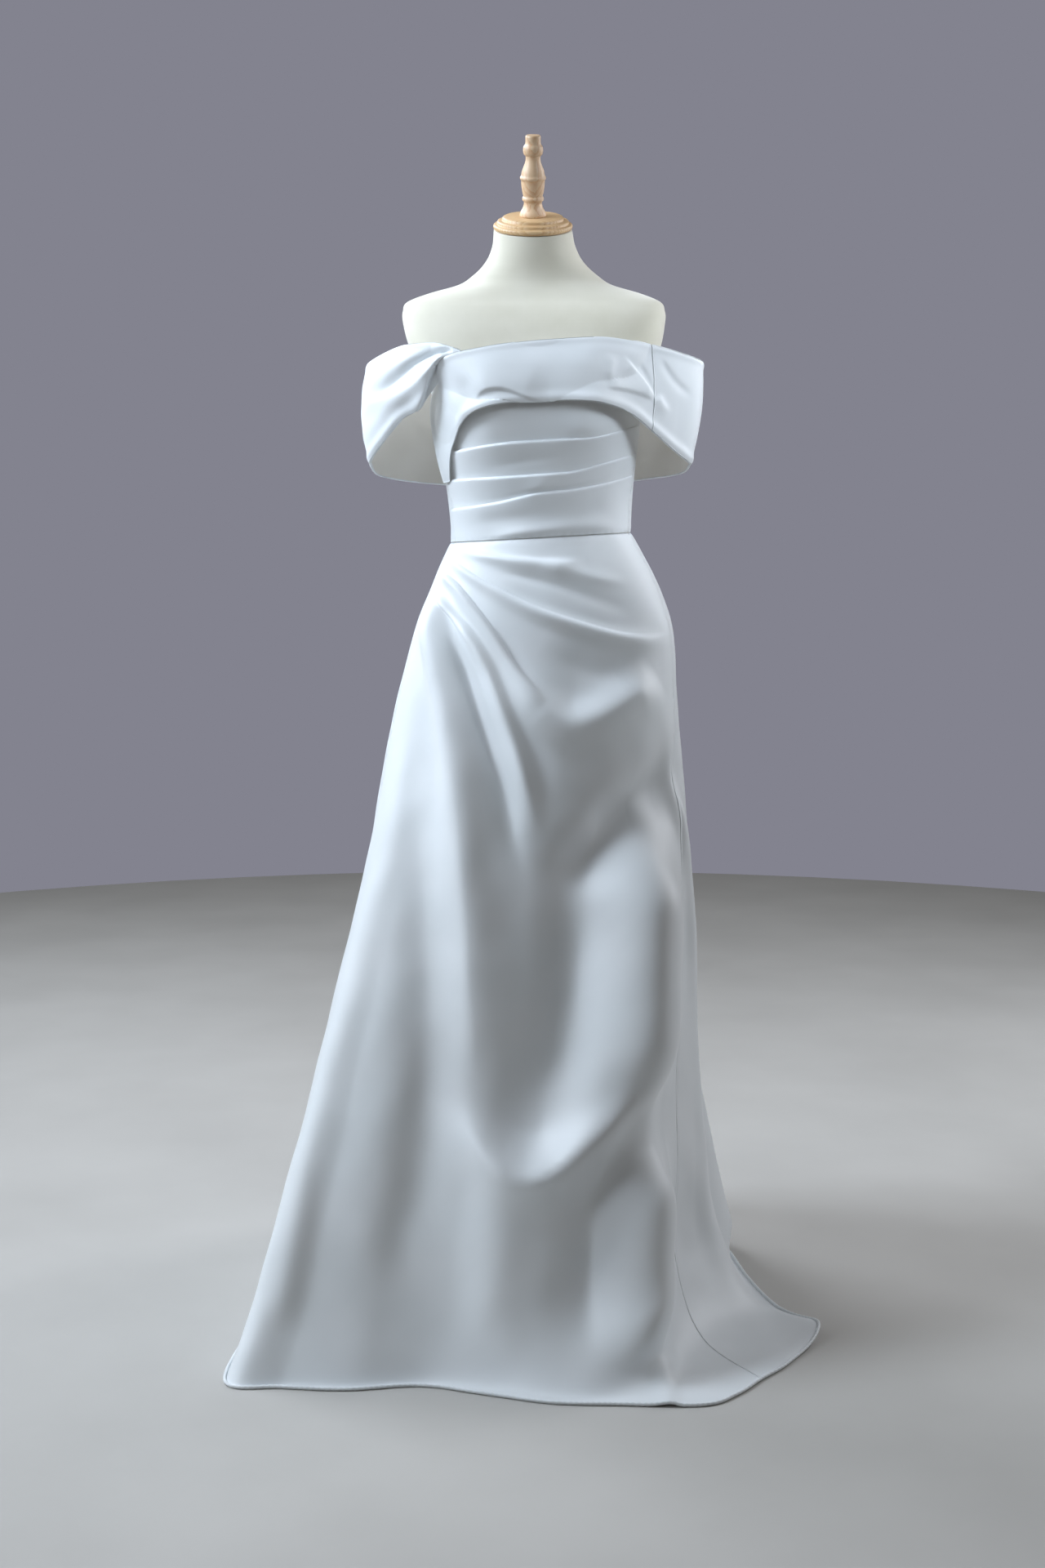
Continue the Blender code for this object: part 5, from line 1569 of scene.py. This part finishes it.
@dataclass
class Skirt:
    """Front with the pleats from the hip, both backs, the train and the rolled hems."""

    finishes: Finishes
    row_spans: Spans = (
        (0.0, 0.198, 92), (0.2015, 0.498, 76), (0.505, 0.997, 60), (1.0, 1.0, 1),
    )
    back_row_spans: Spans = (
        (0.0, 0.198, 54), (0.202, 0.495, 46), (0.503, 0.997, 54), (1.0, 1.0, 1),
    )
    front_columns: int = 200
    back_columns: int = 150
    waist_settle: float = 0.03
    root_lines: float = 1.6
    root_start: float = 0.12
    crease_floor: float = 0.05
    fold_open: float = 0.85
    fold_close: float = 0.90
    fold_close_share: float = 0.8
    swell_level: float = 0.62
    swell_spread: float = 0.20
    floor_rounding: float = 0.35
    floor_rounding_height: float = 0.006
    edge_margin: float = 0.002
    seam_depth: float = 0.0010
    seam_width: float = 0.0045
    curl_height: float = 0.012
    curl_spread: float = 0.42
    curl_start: float = 0.955
    curl_run: float = 0.045
    floor_crease_height: float = 0.04
    least_height: float = 0.0004       # of the outer face over the floor
    sag: Unevenness = Unevenness(11, 0.150, 0.0011)
    sag_top: float = 1.02
    sag_run: float = 0.5               # it grows over this height down from its top
    handling: Unevenness = Unevenness(12, 0.060, 0.00035)
    net: Grid = field(init=False)

    def __post_init__(self) -> None:
        """Work out the net of falls, repeated past both ends so that the skirt closes."""
        net = np.array([self.fall_knots(fall) for fall in FALLS])
        self.net = np.concatenate([net[-NET_OVERLAP:], net, net[:NET_OVERLAP]])

    def build(self) -> None:
        """The three panels and the hem along each."""
        lines = len(FALLS)
        front_rows = np.concatenate([np.linspace(*span) for span in self.row_spans])
        back_rows = np.concatenate([np.linspace(*span) for span in self.back_row_spans])
        panels = (
            ("skirt_front", 0, SEAM_RIGHT_LINE, self.front_columns, front_rows, (1.05, 1.20), 0.86),
            ("skirt_back_right", SEAM_RIGHT_LINE, SEAM_BACK_LINE, self.back_columns, back_rows,
             (0.95, 1.26), 0.60),
            ("skirt_back_left", SEAM_BACK_LINE, lines, self.back_columns, back_rows, (0.95, 1.26), 0.62),
        )
        for node, start, end, columns, rows, flat, area in panels:
            outer, inner = self.walls(*np.meshgrid(np.linspace(start, end, columns), rows))
            hem = RolledHem().build(f"{node}_hem", (outer[-1] + inner[-1]) / 2.0)
            dress(hem, self.finishes.satin, "satin")
            roundness = join_edges(outer, inner, WALL, (Edge.TOP, Edge.START, Edge.END), ())
            piece = closed_shell(f"{node}_satin", outer, inner, roundness)
            dress(piece, self.finishes.satin, "satin", node)

    def fall_knots(self, fall: Fall) -> list[Place]:
        """One line of the fall.

        Args:
            fall: its angles, places and flare.

        Returns:
            Its points from the waist to the hem.
        """
        hip = FALL_STEPS[len(SKIRT_RINGS)]
        angles = through((0.0, hip), (fall.waist_angle, fall.hip_angle), FALL_STEPS[:len(SKIRT_RINGS) + 1])
        x, _ = TORSO.point(angles[0], WAIST, FORM_CLEARANCE)
        x, y = TORSO.point(angles[0], waist_height(float(x)), FORM_CLEARANCE)
        points = [(float(x), float(y), waist_height(float(x)))]
        for ring, angle in zip(SKIRT_RINGS, angles[1:]):
            radians = math.radians(angle)
            depth = ring.front if math.sin(radians) < 0 else ring.back
            x = ring.centre + ring.half_width * math.cos(radians)
            points.append((x, depth * math.sin(radians), ring.height))
        hip_x, hip_y, hip_z = points[-1]
        turn = math.radians(fall.hip_angle)
        for height in FALL_HEIGHTS:
            part = ((hip_z - height) / hip_z) ** fall.flare
            swell = fall.swell * math.exp(-((height - self.swell_level) / self.swell_spread) ** 2)
            points.append((hip_x + (fall.foot_x - hip_x) * part + swell * math.cos(turn),
                           hip_y + (fall.foot_y - hip_y) * part + swell * math.sin(turn), height))
        points.append((fall.foot_x + self.floor_rounding * (fall.hem_x - fall.foot_x),
                       fall.foot_y + self.floor_rounding * (fall.hem_y - fall.foot_y),
                       self.floor_rounding_height))
        points.append((fall.hem_x, fall.hem_y, 0.0))
        return points

    def surface(self, lines: Grid, steps: Grid) -> Grid:
        """Inner face of the skirt before its creases.

        Args:
            lines: which fall, counted round the skirt.
            steps: from the waist 0 to the hem 1.

        Returns:
            One point for each place.
        """
        low = np.floor(lines).astype(int)
        part = lines - low
        weights = (
            -0.5 * part + part ** 2 - 0.5 * part ** 3,
            1.0 - 2.5 * part ** 2 + 1.5 * part ** 3,
            0.5 * part + 2.0 * part ** 2 - 1.5 * part ** 3,
            -0.5 * part ** 2 + 0.5 * part ** 3,
        )
        knots = np.asarray(FALL_STEPS)
        slopes = np.gradient(self.net, knots, axis=1)
        held = np.clip(steps, 0.0, 1.0)
        index = np.clip(np.searchsorted(knots, held, side="right") - 1, 0, len(knots) - 2)
        width = knots[index + 1] - knots[index]
        part = ((steps - knots[index]) / width)[..., None]
        width = width[..., None]
        total = 0.0
        for number, weight in enumerate(weights):
            line = np.clip(low + number - 1 + NET_OVERLAP, 0, len(self.net) - 1)
            value = ease_between(self.net[line, index], slopes[line, index] * width,
                                 self.net[line, index + 1], slopes[line, index + 1] * width, part)
            total = total + weight[..., None] * value
        total[..., 2] = np.maximum(total[..., 2], 0.0)
        return total

    def fall_relief(self, lines: Grid, steps: Grid) -> Grid:
        """Soft folds that open towards the hem.

        Args:
            lines: which fall, counted round the skirt.
            steps: from the waist 0 to the hem 1.

        Returns:
            How far each place stands out.
        """
        relief = 0.0 * lines
        closed = smoothstep((steps - self.fold_close) / (1.0 - self.fold_close))
        closing = 1.0 - self.fold_close_share * closed
        for fold in FALL_FOLDS:
            opened = smoothstep((steps - fold.start) / (self.fold_open - fold.start)) * closing
            relief = relief + fold.depth * opened * bell(lines - fold.at, fold.half_width)
        return relief

    def walls(self, lines: Grid, steps: Grid) -> tuple[Grid, Grid]:
        """Outer and inner face of a panel with its pleats, swags and folds.

        Args:
            lines: which fall, for each point.
            steps: how far down, for each point.

        Returns:
            The outer and the inner grid.
        """
        base = self.surface(lines, steps)
        held = np.clip(steps, self.edge_margin, 1.0 - self.edge_margin)
        outward = surface_normals(self.surface, lines, held)
        settled = smoothstep(steps / self.waist_settle)
        from_left = np.minimum(lines, len(FALLS) - lines)
        rooted = self.root_start + (1.0 - self.root_start) * smoothstep(from_left / self.root_lines)
        front = rooted * smoothstep(SEAM_RIGHT_LINE + 1.0 - lines)
        relief = self.fall_relief(lines, steps)
        relief = relief + front * crease_relief(HIP_CREASES + FALL_CREASES, base, outward)
        relief = relief + crease_relief(BACK_CREASES, base, outward)
        relief = relief + self.sag.height(base) * smoothstep((self.sag_top - base[..., 2]) / self.sag_run)
        relief = relief + self.handling.height(base)
        floor_free = smoothstep(base[..., 2] / self.crease_floor)
        relief = relief * settled * floor_free
        sides = edge_dip(base, (Edge.START, Edge.END), self.seam_depth, self.seam_width)
        relief = relief + sides * floor_free
        relief = relief + edge_dip(base, (Edge.TOP,), self.seam_depth, self.seam_width)
        inner = base + outward * relief[..., None]
        on_floor = 1.0 - smoothstep(base[..., 2] / self.floor_crease_height)
        forwards = np.broadcast_to((0.0, -1.0, 0.0), base.shape)
        lift = crease_relief(FLOOR_CREASES, base, forwards) * on_floor
        curled = smoothstep((steps - self.curl_start) / self.curl_run)
        tip = bell(lines - TRAIN_TIP_LINE, self.curl_spread) * curled
        inner[..., 2] += lift + self.curl_height * tip
        inner[..., 2] = np.maximum(inner[..., 2], 0.0)
        normals = grid_normals(inner)
        normals[..., 2] *= settled
        outer = inner + unit(normals) * WALL
        outer[..., 2] = np.maximum(outer[..., 2], self.least_height)
        return outer, inner


# ---------------- collar

class Band(NamedTuple):
    """A station of the collar in millimetres: lower and upper edge, and how far its middle stands out."""

    lower: Place
    upper: Place
    belly: float


FRONT_BAND = (
    Band((-115, -50, 1189), (-124, -38, 1187), 0),
    Band((-112.5, -70, 1224), (-133, -40, 1222), 1),
    Band((-106, -85, 1245), (-139.5, -38, 1258), 2),
    Band((-97, -100, 1264), (-141, -50, 1296), 3),
    Band((-84, -115, 1277), (-128, -85, 1327), 4),
    Band((-62, -125, 1285), (-105, -90, 1354), 4),
    Band((-33, -130, 1290), (-62, -110, 1367), 4),
    Band((2, -130, 1291), (-8, -115, 1375), 4),
    Band((48, -130, 1293), (48, -110, 1379), 4),
    Band((90, -125, 1290), (92, -100, 1381), 4),
    Band((129, -105, 1279), (129, -90, 1377), 4),
    Band((162, -78, 1257), (161, -80, 1373.5), 4),
    Band((192, -48, 1234), (198, -55, 1366.5), 5),
    Band((217, -14, 1217), (234, -16, 1358), 6),
    Band((222, 24, 1213), (237, 26, 1354.5), 7),
    Band((212, 64, 1202), (218, 70, 1352), 7),
    Band((162, 104, 1195), (172, 108, 1350), 6),
    Band((100, 116, 1188), (106, 119, 1348), 4),
    Band((46, 112, 1185), (48, 113, 1347), 1),
    Band((6, 110, 1184), (6, 111, 1346.5), 0),
)
TWIST_BAND = (
    Band((-98, -100, 1346), (-94, -100, 1364.5), 0),
    Band((-116, -95, 1336), (-111, -95, 1370.5), 2),
    Band((-137, -88, 1312), (-133, -90, 1375.5), 7),
    Band((-157, -78, 1286), (-156, -80, 1376), 11),
    Band((-184, -64, 1270), (-180, -66, 1374), 12),
    Band((-208, -44, 1245), (-206, -46, 1366), 12),
    Band((-229, -14, 1220), (-230, -16, 1355), 11),
    Band((-233, 24, 1213), (-234, 26, 1351), 10),
    Band((-223, 62, 1199), (-218, 70, 1351), 7),
    Band((-166, 104, 1190), (-168, 108, 1350), 6),
    Band((-96, 116, 1186), (-96, 119, 1348), 4),
    Band((-36, 112, 1185), (-38, 113, 1347), 1),
    Band((6, 110, 1184), (6, 111, 1346.5), 0),
)


class Stretch(NamedTuple):
    """Where along a band something begins and is complete, in stations."""

    start: float
    full: float

    def reached(self, columns: Grid) -> Grid:
        """0 before the stretch, easing to 1 at its end."""
        return smoothstep((columns - self.start) / (self.full - self.start))


FRONT_BAND_CREASES = (
    Crease(4.2, 30, 5, ((-82, 1296), (-66, 1309), (-45, 1312), (-25, 1307), (-6, 1300), (20, 1294)),
           Profile.LIP_BELOW, fades=(0.25, 0.30)),
    Crease(3.4, 3.5, 18, ((121, 1354), (134, 1340), (147, 1325), (166, 1301)), Profile.LIP_ABOVE,
           fades=(0.30, 0.20)),
    Crease(3, 18, 4.5, ((96, 1312), (115, 1312), (140, 1308), (168, 1300)), Profile.LIP_BELOW,
           fades=(0.30, 0.20)),
    Crease(-1.6, 4, 4, ((141, 1349), (150, 1336), (158, 1320), (166, 1303)), fades=(0.35, 0.25)),
    Crease(1.8, 5, 9, ((108, 1358), (104, 1340), (99, 1318)), fades=(0.35, 0.35)),
    Crease(1.2, 10, 10, ((60, 1366), (110, 1366), (155, 1360)), fades=(0.40, 0.30)),
    Crease(-1.6, 10, 10, ((-100, 1330), (-88, 1306), (-90, 1280))),
)

RIGHT_BAND_CREASES = (
    Crease(-1.6, 4, 7, ((172, 1357), (195, 1326), (226, 1304)), fades=(0.25, 0.35)),
    Crease(2.6, 6, 10, ((169, 1305), (176, 1292), (190, 1280)), fades=(0.20, 0.50)),
    Crease(4.2, 12, 18, ((130, 1310), (80, 1290), (20, 1294)), fades=(0.35, 0.35), view=View.BACK),
    Crease(3.2, 14, 8, ((175, 1282), (120, 1256), (60, 1250)), fades=(0.35, 0.40), view=View.BACK),
    Crease(3.6, 8, 14, ((190, 1235), (140, 1218), (90, 1222)), fades=(0.35, 0.40), view=View.BACK),
)

TWIST_CREASES = (
    Crease(-8.5, 6, 11, ((-108, 1363), (-135, 1360), (-161, 1350), (-188, 1329), (-212, 1312), (-236, 1302)),
           fades=(0.12, 0.35), opening=0.35),
    Crease(6, 12, 11, ((-112, 1359), (-130, 1350), (-148, 1335), (-170, 1314), (-200, 1298), (-232, 1286)),
           fades=(0.12, 0.45), opening=0.35),
    Crease(8, 5, 16, ((-112, 1358), (-128, 1351), (-139, 1335), (-148, 1314), (-157, 1290), (-172, 1272)),
           Profile.LIP_ABOVE, fades=(0.20, 0.35), opening=0.5),
    Crease(4.4, 12, 18, ((-150, 1318), (-85, 1296), (-20, 1300)), fades=(0.35, 0.35), view=View.BACK),
    Crease(-4.2, 10, 16, ((-185, 1284), (-125, 1254), (-60, 1246)), fades=(0.35, 0.40), view=View.BACK),
    Crease(3.4, 8, 14, ((-190, 1236), (-130, 1216), (-80, 1226)), fades=(0.35, 0.40), view=View.BACK),
)


class Face(Enum):
    """The face of a band that its table gives: its sign turns the table's normals outwards."""

    INNER = 1.0
    OUTER = -1.0


class CollarLength(NamedTuple):
    """A length of the collar: what it is cut from, its grid, its creases and its sheet."""

    node: str
    stations: tuple[Band, ...]
    face: Face
    start: float
    end: float
    columns: int
    rows: int
    creases: tuple[Crease | Swell, ...]
    lies_on: str
    flat: tuple[float, float]
    area: float


COLLAR_SEAM = 11.0             # station of the seam in front of the right arm
COLLAR_LENGTHS = (
    CollarLength("collar_front", FRONT_BAND, Face.INNER, 0.0, COLLAR_SEAM, 196, 58, FRONT_BAND_CREASES,
                 "bodice_front", (0.38, 0.11), 0.037),
    CollarLength("collar_right", FRONT_BAND, Face.INNER, COLLAR_SEAM, len(FRONT_BAND) - 1.0, 190, 54,
                 RIGHT_BAND_CREASES, "bodice_back_right", (0.42, 0.165), 0.065),
    CollarLength("collar_left", TWIST_BAND, Face.OUTER, 0.0, len(TWIST_BAND) - 1.0, 220, 64, TWIST_CREASES,
                 "bodice_back_left", (0.46, 0.165), 0.070),
)


@dataclass
class Collar:
    """The draped band over the bust and its two lengths round the arms, folded double with soft edges."""

    finishes: Finishes
    chest_lift: float = 0.0045
    chest_open: Stretch = Stretch(0.0, 2.0)
    chest_close: Stretch = Stretch(10.0, 13.0)
    tuck_depth: float = 0.0036
    tuck_station: float = 5.2
    tuck_spread: float = 1.6
    tuck_low_share: float = 0.5        # how much less it is at the band's lower edge
    twist_lift: float = 0.0018
    twist_lift_close: Stretch = Stretch(1.5, 3.5)
    twist_folds: tuple[float, ...] = (0.24, 0.50, 0.76)
    twist_fold_rise: float = 0.0010
    twist_fold_width: float = 0.085
    twist_open: Stretch = Stretch(0.6, 3.6)
    twist_close: Stretch = Stretch(5.0, 8.0)
    bodice_clear_height: float = 1.378
    bodice_clear_blend: float = 0.038
    edge_margin: float = 0.002
    edge_rows: float = 0.35            # how far the rows crowd towards both edges
    seam_depth: float = 0.0002
    seam_width: float = 0.004
    handling: Unevenness = Unevenness(21, 0.070, 0.00045)
    lower_roll: float = 0.0024
    lower_roll_width: float = 0.007
    lower_roll_open: Stretch = Stretch(0.5, 5.0)
    upper_roll: float = 0.0012
    upper_roll_place: float = 0.004
    upper_roll_width: float = 0.005
    trough_limit: float = 0.0006       # how far an inner face may dip towards what it lies on
    inner_share: float = 0.8           # of a ridge, on the inner face of the twisted length

    def build(self) -> None:
        """The three lengths of the collar."""
        for length in COLLAR_LENGTHS:
            piece = self.length(length)
            dress(piece, self.finishes.satin, "satin", length.node)
            # inner face in a warmer cream: painted backlight through the satin
            paint_inner_face_backlight(piece, self.finishes.painted_backlight, length.columns, length.rows)

    def front_lift(self, columns: Grid, rows: Grid) -> Grid:
        """How far the front band stands off the pleats below it, and off the twist's end.

        Args:
            columns: where along the band, in stations.
            rows: from its upper edge 0 to its lower edge 1.

        Returns:
            The lift at each place.
        """
        over_twist = bell(columns - self.tuck_station, self.tuck_spread)
        over_chest = self.chest_open.reached(columns) * (1.0 - self.chest_close.reached(columns))
        tuck = self.tuck_depth * over_twist * (1.0 - self.tuck_low_share * rows)
        return self.chest_lift * over_chest + tuck

    def band(self, stations: tuple[Band, ...], columns: Grid, rows: Grid, lift: Grid, swell: Grid) -> Grid:
        """Points of a band.

        Args:
            stations: the band's table.
            columns: where along it, in stations.
            rows: from its upper edge 0 to its lower edge 1.
            lift: how far it stands off what it lies on.
            swell: how far it stands out over its straight line, besides its belly.

        Returns:
            One point for each place.
        """
        knots = np.arange(len(stations))
        low = through(knots, np.array([station.lower for station in stations]) / METRE, columns)
        high = through(knots, np.array([station.upper for station in stations]) / METRE, columns)
        belly = through(knots, np.array([station.belly for station in stations]) / METRE, columns)
        part = rows[..., None]
        points = high * (1.0 - part) + low * part
        centre = TORSO.section_at(points[..., 2]).centre
        outward = unit(np.stack([points[..., 0] - centre, points[..., 1], 0.0 * centre], axis=-1))
        over_bodice = smoothstep((self.bodice_clear_height - points[..., 2]) / self.bodice_clear_blend)
        points = TORSO.keep_outside(points, FORM_CLEARANCE + over_bodice * (WALL + COLLAR_CLEARANCE) + lift)
        return points + outward * (belly * 4.0 * rows * (1.0 - rows) + swell)[..., None]

    def front_surface(self, columns: Grid, rows: Grid) -> Grid:
        """Inner face of the front band."""
        return self.band(FRONT_BAND, columns, rows, self.front_lift(columns, rows), 0.0 * rows)

    def twist_surface(self, columns: Grid, rows: Grid) -> Grid:
        """Outer face of the twisted length, with the folds that fan out of the twist.

        Args:
            columns: where along it, in stations.
            rows: from its upper edge 0 to its lower edge 1.

        Returns:
            One point for each place.
        """
        opened = self.twist_open.reached(columns) * (1.0 - self.twist_close.reached(columns))
        swell = 0.0 * rows
        for place in self.twist_folds:
            swell = swell + self.twist_fold_rise * opened * bell(rows - place, self.twist_fold_width)
        lift = self.twist_lift * (1.0 - self.twist_lift_close.reached(columns))
        return self.band(TWIST_BAND, columns, rows, lift + 0.0 * rows, swell)

    def length(self, length: CollarLength) -> Piece:
        """One length of the collar as a closed shell.

        Args:
            length: its face, stations and grid.

        Returns:
            The new object.
        """
        surface = self.twist_surface if length.stations is TWIST_BAND else self.front_surface
        side = length.face.value
        columns = np.linspace(length.start, length.end, length.columns)
        even = np.linspace(0.0, 1.0, length.rows)
        rows = self.edge_rows * closer_at_ends(length.rows) + (1.0 - self.edge_rows) * even
        columns, rows = np.meshgrid(columns, rows)
        base = surface(columns, rows)
        last = len(length.stations) - 1.0
        outward = side * surface_normals(surface, np.clip(columns, self.edge_margin, last - self.edge_margin),
                                         np.clip(rows, self.edge_margin, 1.0 - self.edge_margin))
        relief = crease_relief(length.creases, base, outward)
        relief = relief + self.handling.height(base)
        relief = relief + edge_dip(base, (Edge.START, Edge.END), self.seam_depth, self.seam_width)
        from_top = lengths_of(base, 0)
        from_low = from_top[-1:] - from_top
        roll = self.lower_roll * bell(from_low - self.lower_roll_width, self.lower_roll_width)
        roll = roll * self.lower_roll_open.reached(columns)
        roll = roll + self.upper_roll * bell(from_top - self.upper_roll_place, self.upper_roll_width)
        if length.face is Face.INNER:
            inner = base + outward * np.maximum(relief, -self.trough_limit)[..., None]
            outer = base + outward * (relief + COLLAR_WALL + roll)[..., None]
        else:
            outer = base + outward * (relief + roll)[..., None]
            inner = base + outward * (np.minimum(relief, 0.0) - COLLAR_WALL)[..., None]
            raised = inner + outward * (self.inner_share * relief)[..., None]
            inner = np.where((relief > 0)[..., None], raised, inner)
        roundness = join_edges(outer, inner, COLLAR_WALL, (Edge.START, Edge.END), (Edge.TOP, Edge.BOTTOM))
        return closed_shell(f"{length.node}_satin", outer, inner, roundness)


# ---------------- zip

@dataclass
class Zip:
    """Slider and pull tab at the top of the centre-back closing."""

    finishes: Finishes
    frame: dict

    def build(self) -> None:
        """Lacquer the frame's own nodes."""
        coat(self.frame, self.finishes.lacquer, "zip_slider", "zip_pull")


# ---------------- studio

class Lamp(NamedTuple):
    """A soft light: its place, what it is aimed at, its size, power, colour and spread in degrees."""

    name: str
    place: Place
    target: Place
    width: float
    height: float
    watts: float
    colour: str
    spread: float = 180.0


@dataclass
class Studio:
    """Pale floor, soft lights and the camera."""

    floor_radius: float = 3.6
    floor_steps: int = 96
    floor_gap: float = 0.0005          # below the hem, so that the two don't share a plane
    floor_greys: Clouding = Clouding(333.0 * MM, 4.0, ((0.30, "bcbab6"), (0.70, "c4c2be")))
    sky_colour: str = "aca6a0"
    sky_strength: float = 0.245
    backdrop_colour: str = "83838f"
    camera_place: Place = (-0.015, -2.825, 1.12)
    camera_fall: float = 310.0 / 2400.0            # of the line of sight, for each metre ahead
    lens: float = 45.0
    sensor: float = 36.0
    lamps: tuple[Lamp, ...] = (
        Lamp("left_high", (-2.3, -0.3, 2.9), (0.0, 0.0, 0.9), 1.0, 1.4, 62.0, "e8f3ff"),
        Lamp("left_upper", (-1.6, -0.6, 2.2), (-0.05, 0.0, 1.28), 0.6, 0.6, 2.1, "e2f0ff", 50.0),
        Lamp("left_side", (-3.0, 0.3, 2.0), (0.0, 0.0, 0.6), 0.7, 0.9, 12.0, "e8f3ff"),
        Lamp("top_behind", (-1.4, 1.4, 2.9), (0.0, 0.0, 0.9), 1.3, 1.0, 48.0, "eef5ff"),
        Lamp("right_high", (2.2, -0.2, 2.9), (0.0, 0.0, 0.9), 1.2, 1.4, 6.0, "f4f8ff"),
        Lamp("right_behind", (2.3, 1.0, 1.9), (0.2, 0.0, 0.6), 1.0, 1.8, 30.0, "f4f8ff"),
        Lamp("front_upper", (-0.7, -1.2, 1.9), (-0.04, 0.0, 1.20), 0.5, 0.4, 0.16, "e8f3ff", 40.0),
        Lamp("left_low", (-1.9, -1.2, 1.3), (-0.04, -0.2, 0.02), 0.6, 0.6, 0.8, "e8f3ff", 44.0),
        Lamp("right_upper", (1.1, -0.7, 1.9), (0.24, 0.0, 1.36), 0.4, 0.4, 0.75, "e8f3ff", 40.0),
    )

    def build(self) -> None:
        """Floor, lights, sky and camera."""
        bpy.ops.object.select_all(action="DESELECT")
        bpy.ops.mesh.primitive_circle_add(vertices=self.floor_steps, radius=self.floor_radius,
                                          fill_type="NGON", location=(0.0, 0.0, -self.floor_gap))
        floor = bpy.context.object
        floor.name = "studio_floor"
        floor.data.materials.append(self.floor_material())
        for lamp in self.lamps:
            self.hang(lamp)
        world = bpy.data.worlds.new("studio_sky")
        world.use_nodes = True
        tree = world.node_tree
        background = tree.nodes["Background"]
        background.inputs["Color"].default_value = linear(self.sky_colour)
        background.inputs["Strength"].default_value = self.sky_strength
        behind = add_node(tree, "ShaderNodeBackground", {"Color": linear(self.backdrop_colour)})
        seen = add_node(tree, "ShaderNodeLightPath").outputs["Is Camera Ray"]
        either = add_node(tree, "ShaderNodeMixShader", {0: seen, 1: background, 2: behind})
        tree.links.new(either.outputs["Shader"], tree.nodes["World Output"].inputs["Surface"])
        bpy.context.scene.world = world
        camera_data = bpy.data.cameras.new("camera")
        camera_data.lens = self.lens
        camera_data.sensor_width = self.sensor
        camera = bpy.data.objects.new("camera", camera_data)
        camera.location = self.camera_place
        camera.rotation_euler = (math.pi / 2.0 - math.atan(self.camera_fall), 0.0, 0.0)
        bpy.context.scene.collection.objects.link(camera)
        bpy.context.scene.camera = camera
        bpy.context.scene.view_settings.view_transform = "Standard"

    def floor_material(self) -> Finish:
        """Matt, painted floor with a faint unevenness."""
        material, tree = new_material("painted_floor")
        place = add_node(tree, "ShaderNodeTexCoord").outputs["Object"]
        colour = self.floor_greys.colour(tree, place)
        finish_with(tree, {"Base Color": colour, "Roughness": 0.75, "Specular IOR Level": 0.3})
        return material

    @staticmethod
    def hang(lamp: Lamp) -> None:
        """Hang one lamp and aim it.

        Args:
            lamp: its place, aim, size and light.
        """
        data = bpy.data.lights.new(lamp.name, "AREA")
        data.shape = "RECTANGLE"
        data.size = lamp.width
        data.size_y = lamp.height
        data.energy = lamp.watts
        data.color = linear(lamp.colour)[:3]
        data.spread = math.radians(lamp.spread)
        light = bpy.data.objects.new(lamp.name, data)
        light.location = lamp.place
        aim = Vector(lamp.target) - Vector(lamp.place)
        light.rotation_euler = aim.to_track_quat("-Z", "Y").to_euler()
        light.visible_camera = False
        bpy.context.scene.collection.objects.link(light)


# ---------------- assembly

def main() -> None:
    """Load the frame, then build and dress every piece round it."""
    logging.basicConfig(level=logging.INFO, format="%(name)s: %(message)s")
    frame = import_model()
    finishes = Finishes()
    DressForm(finishes).build()
    NeckTurnings(finishes).build()
    Stand(finishes, frame).build()
    Bodice(finishes).build()
    Skirt(finishes).build()
    Collar(finishes).build()
    Zip(finishes, frame).build()
    Studio().build()


if __name__ == "__main__":
    main()
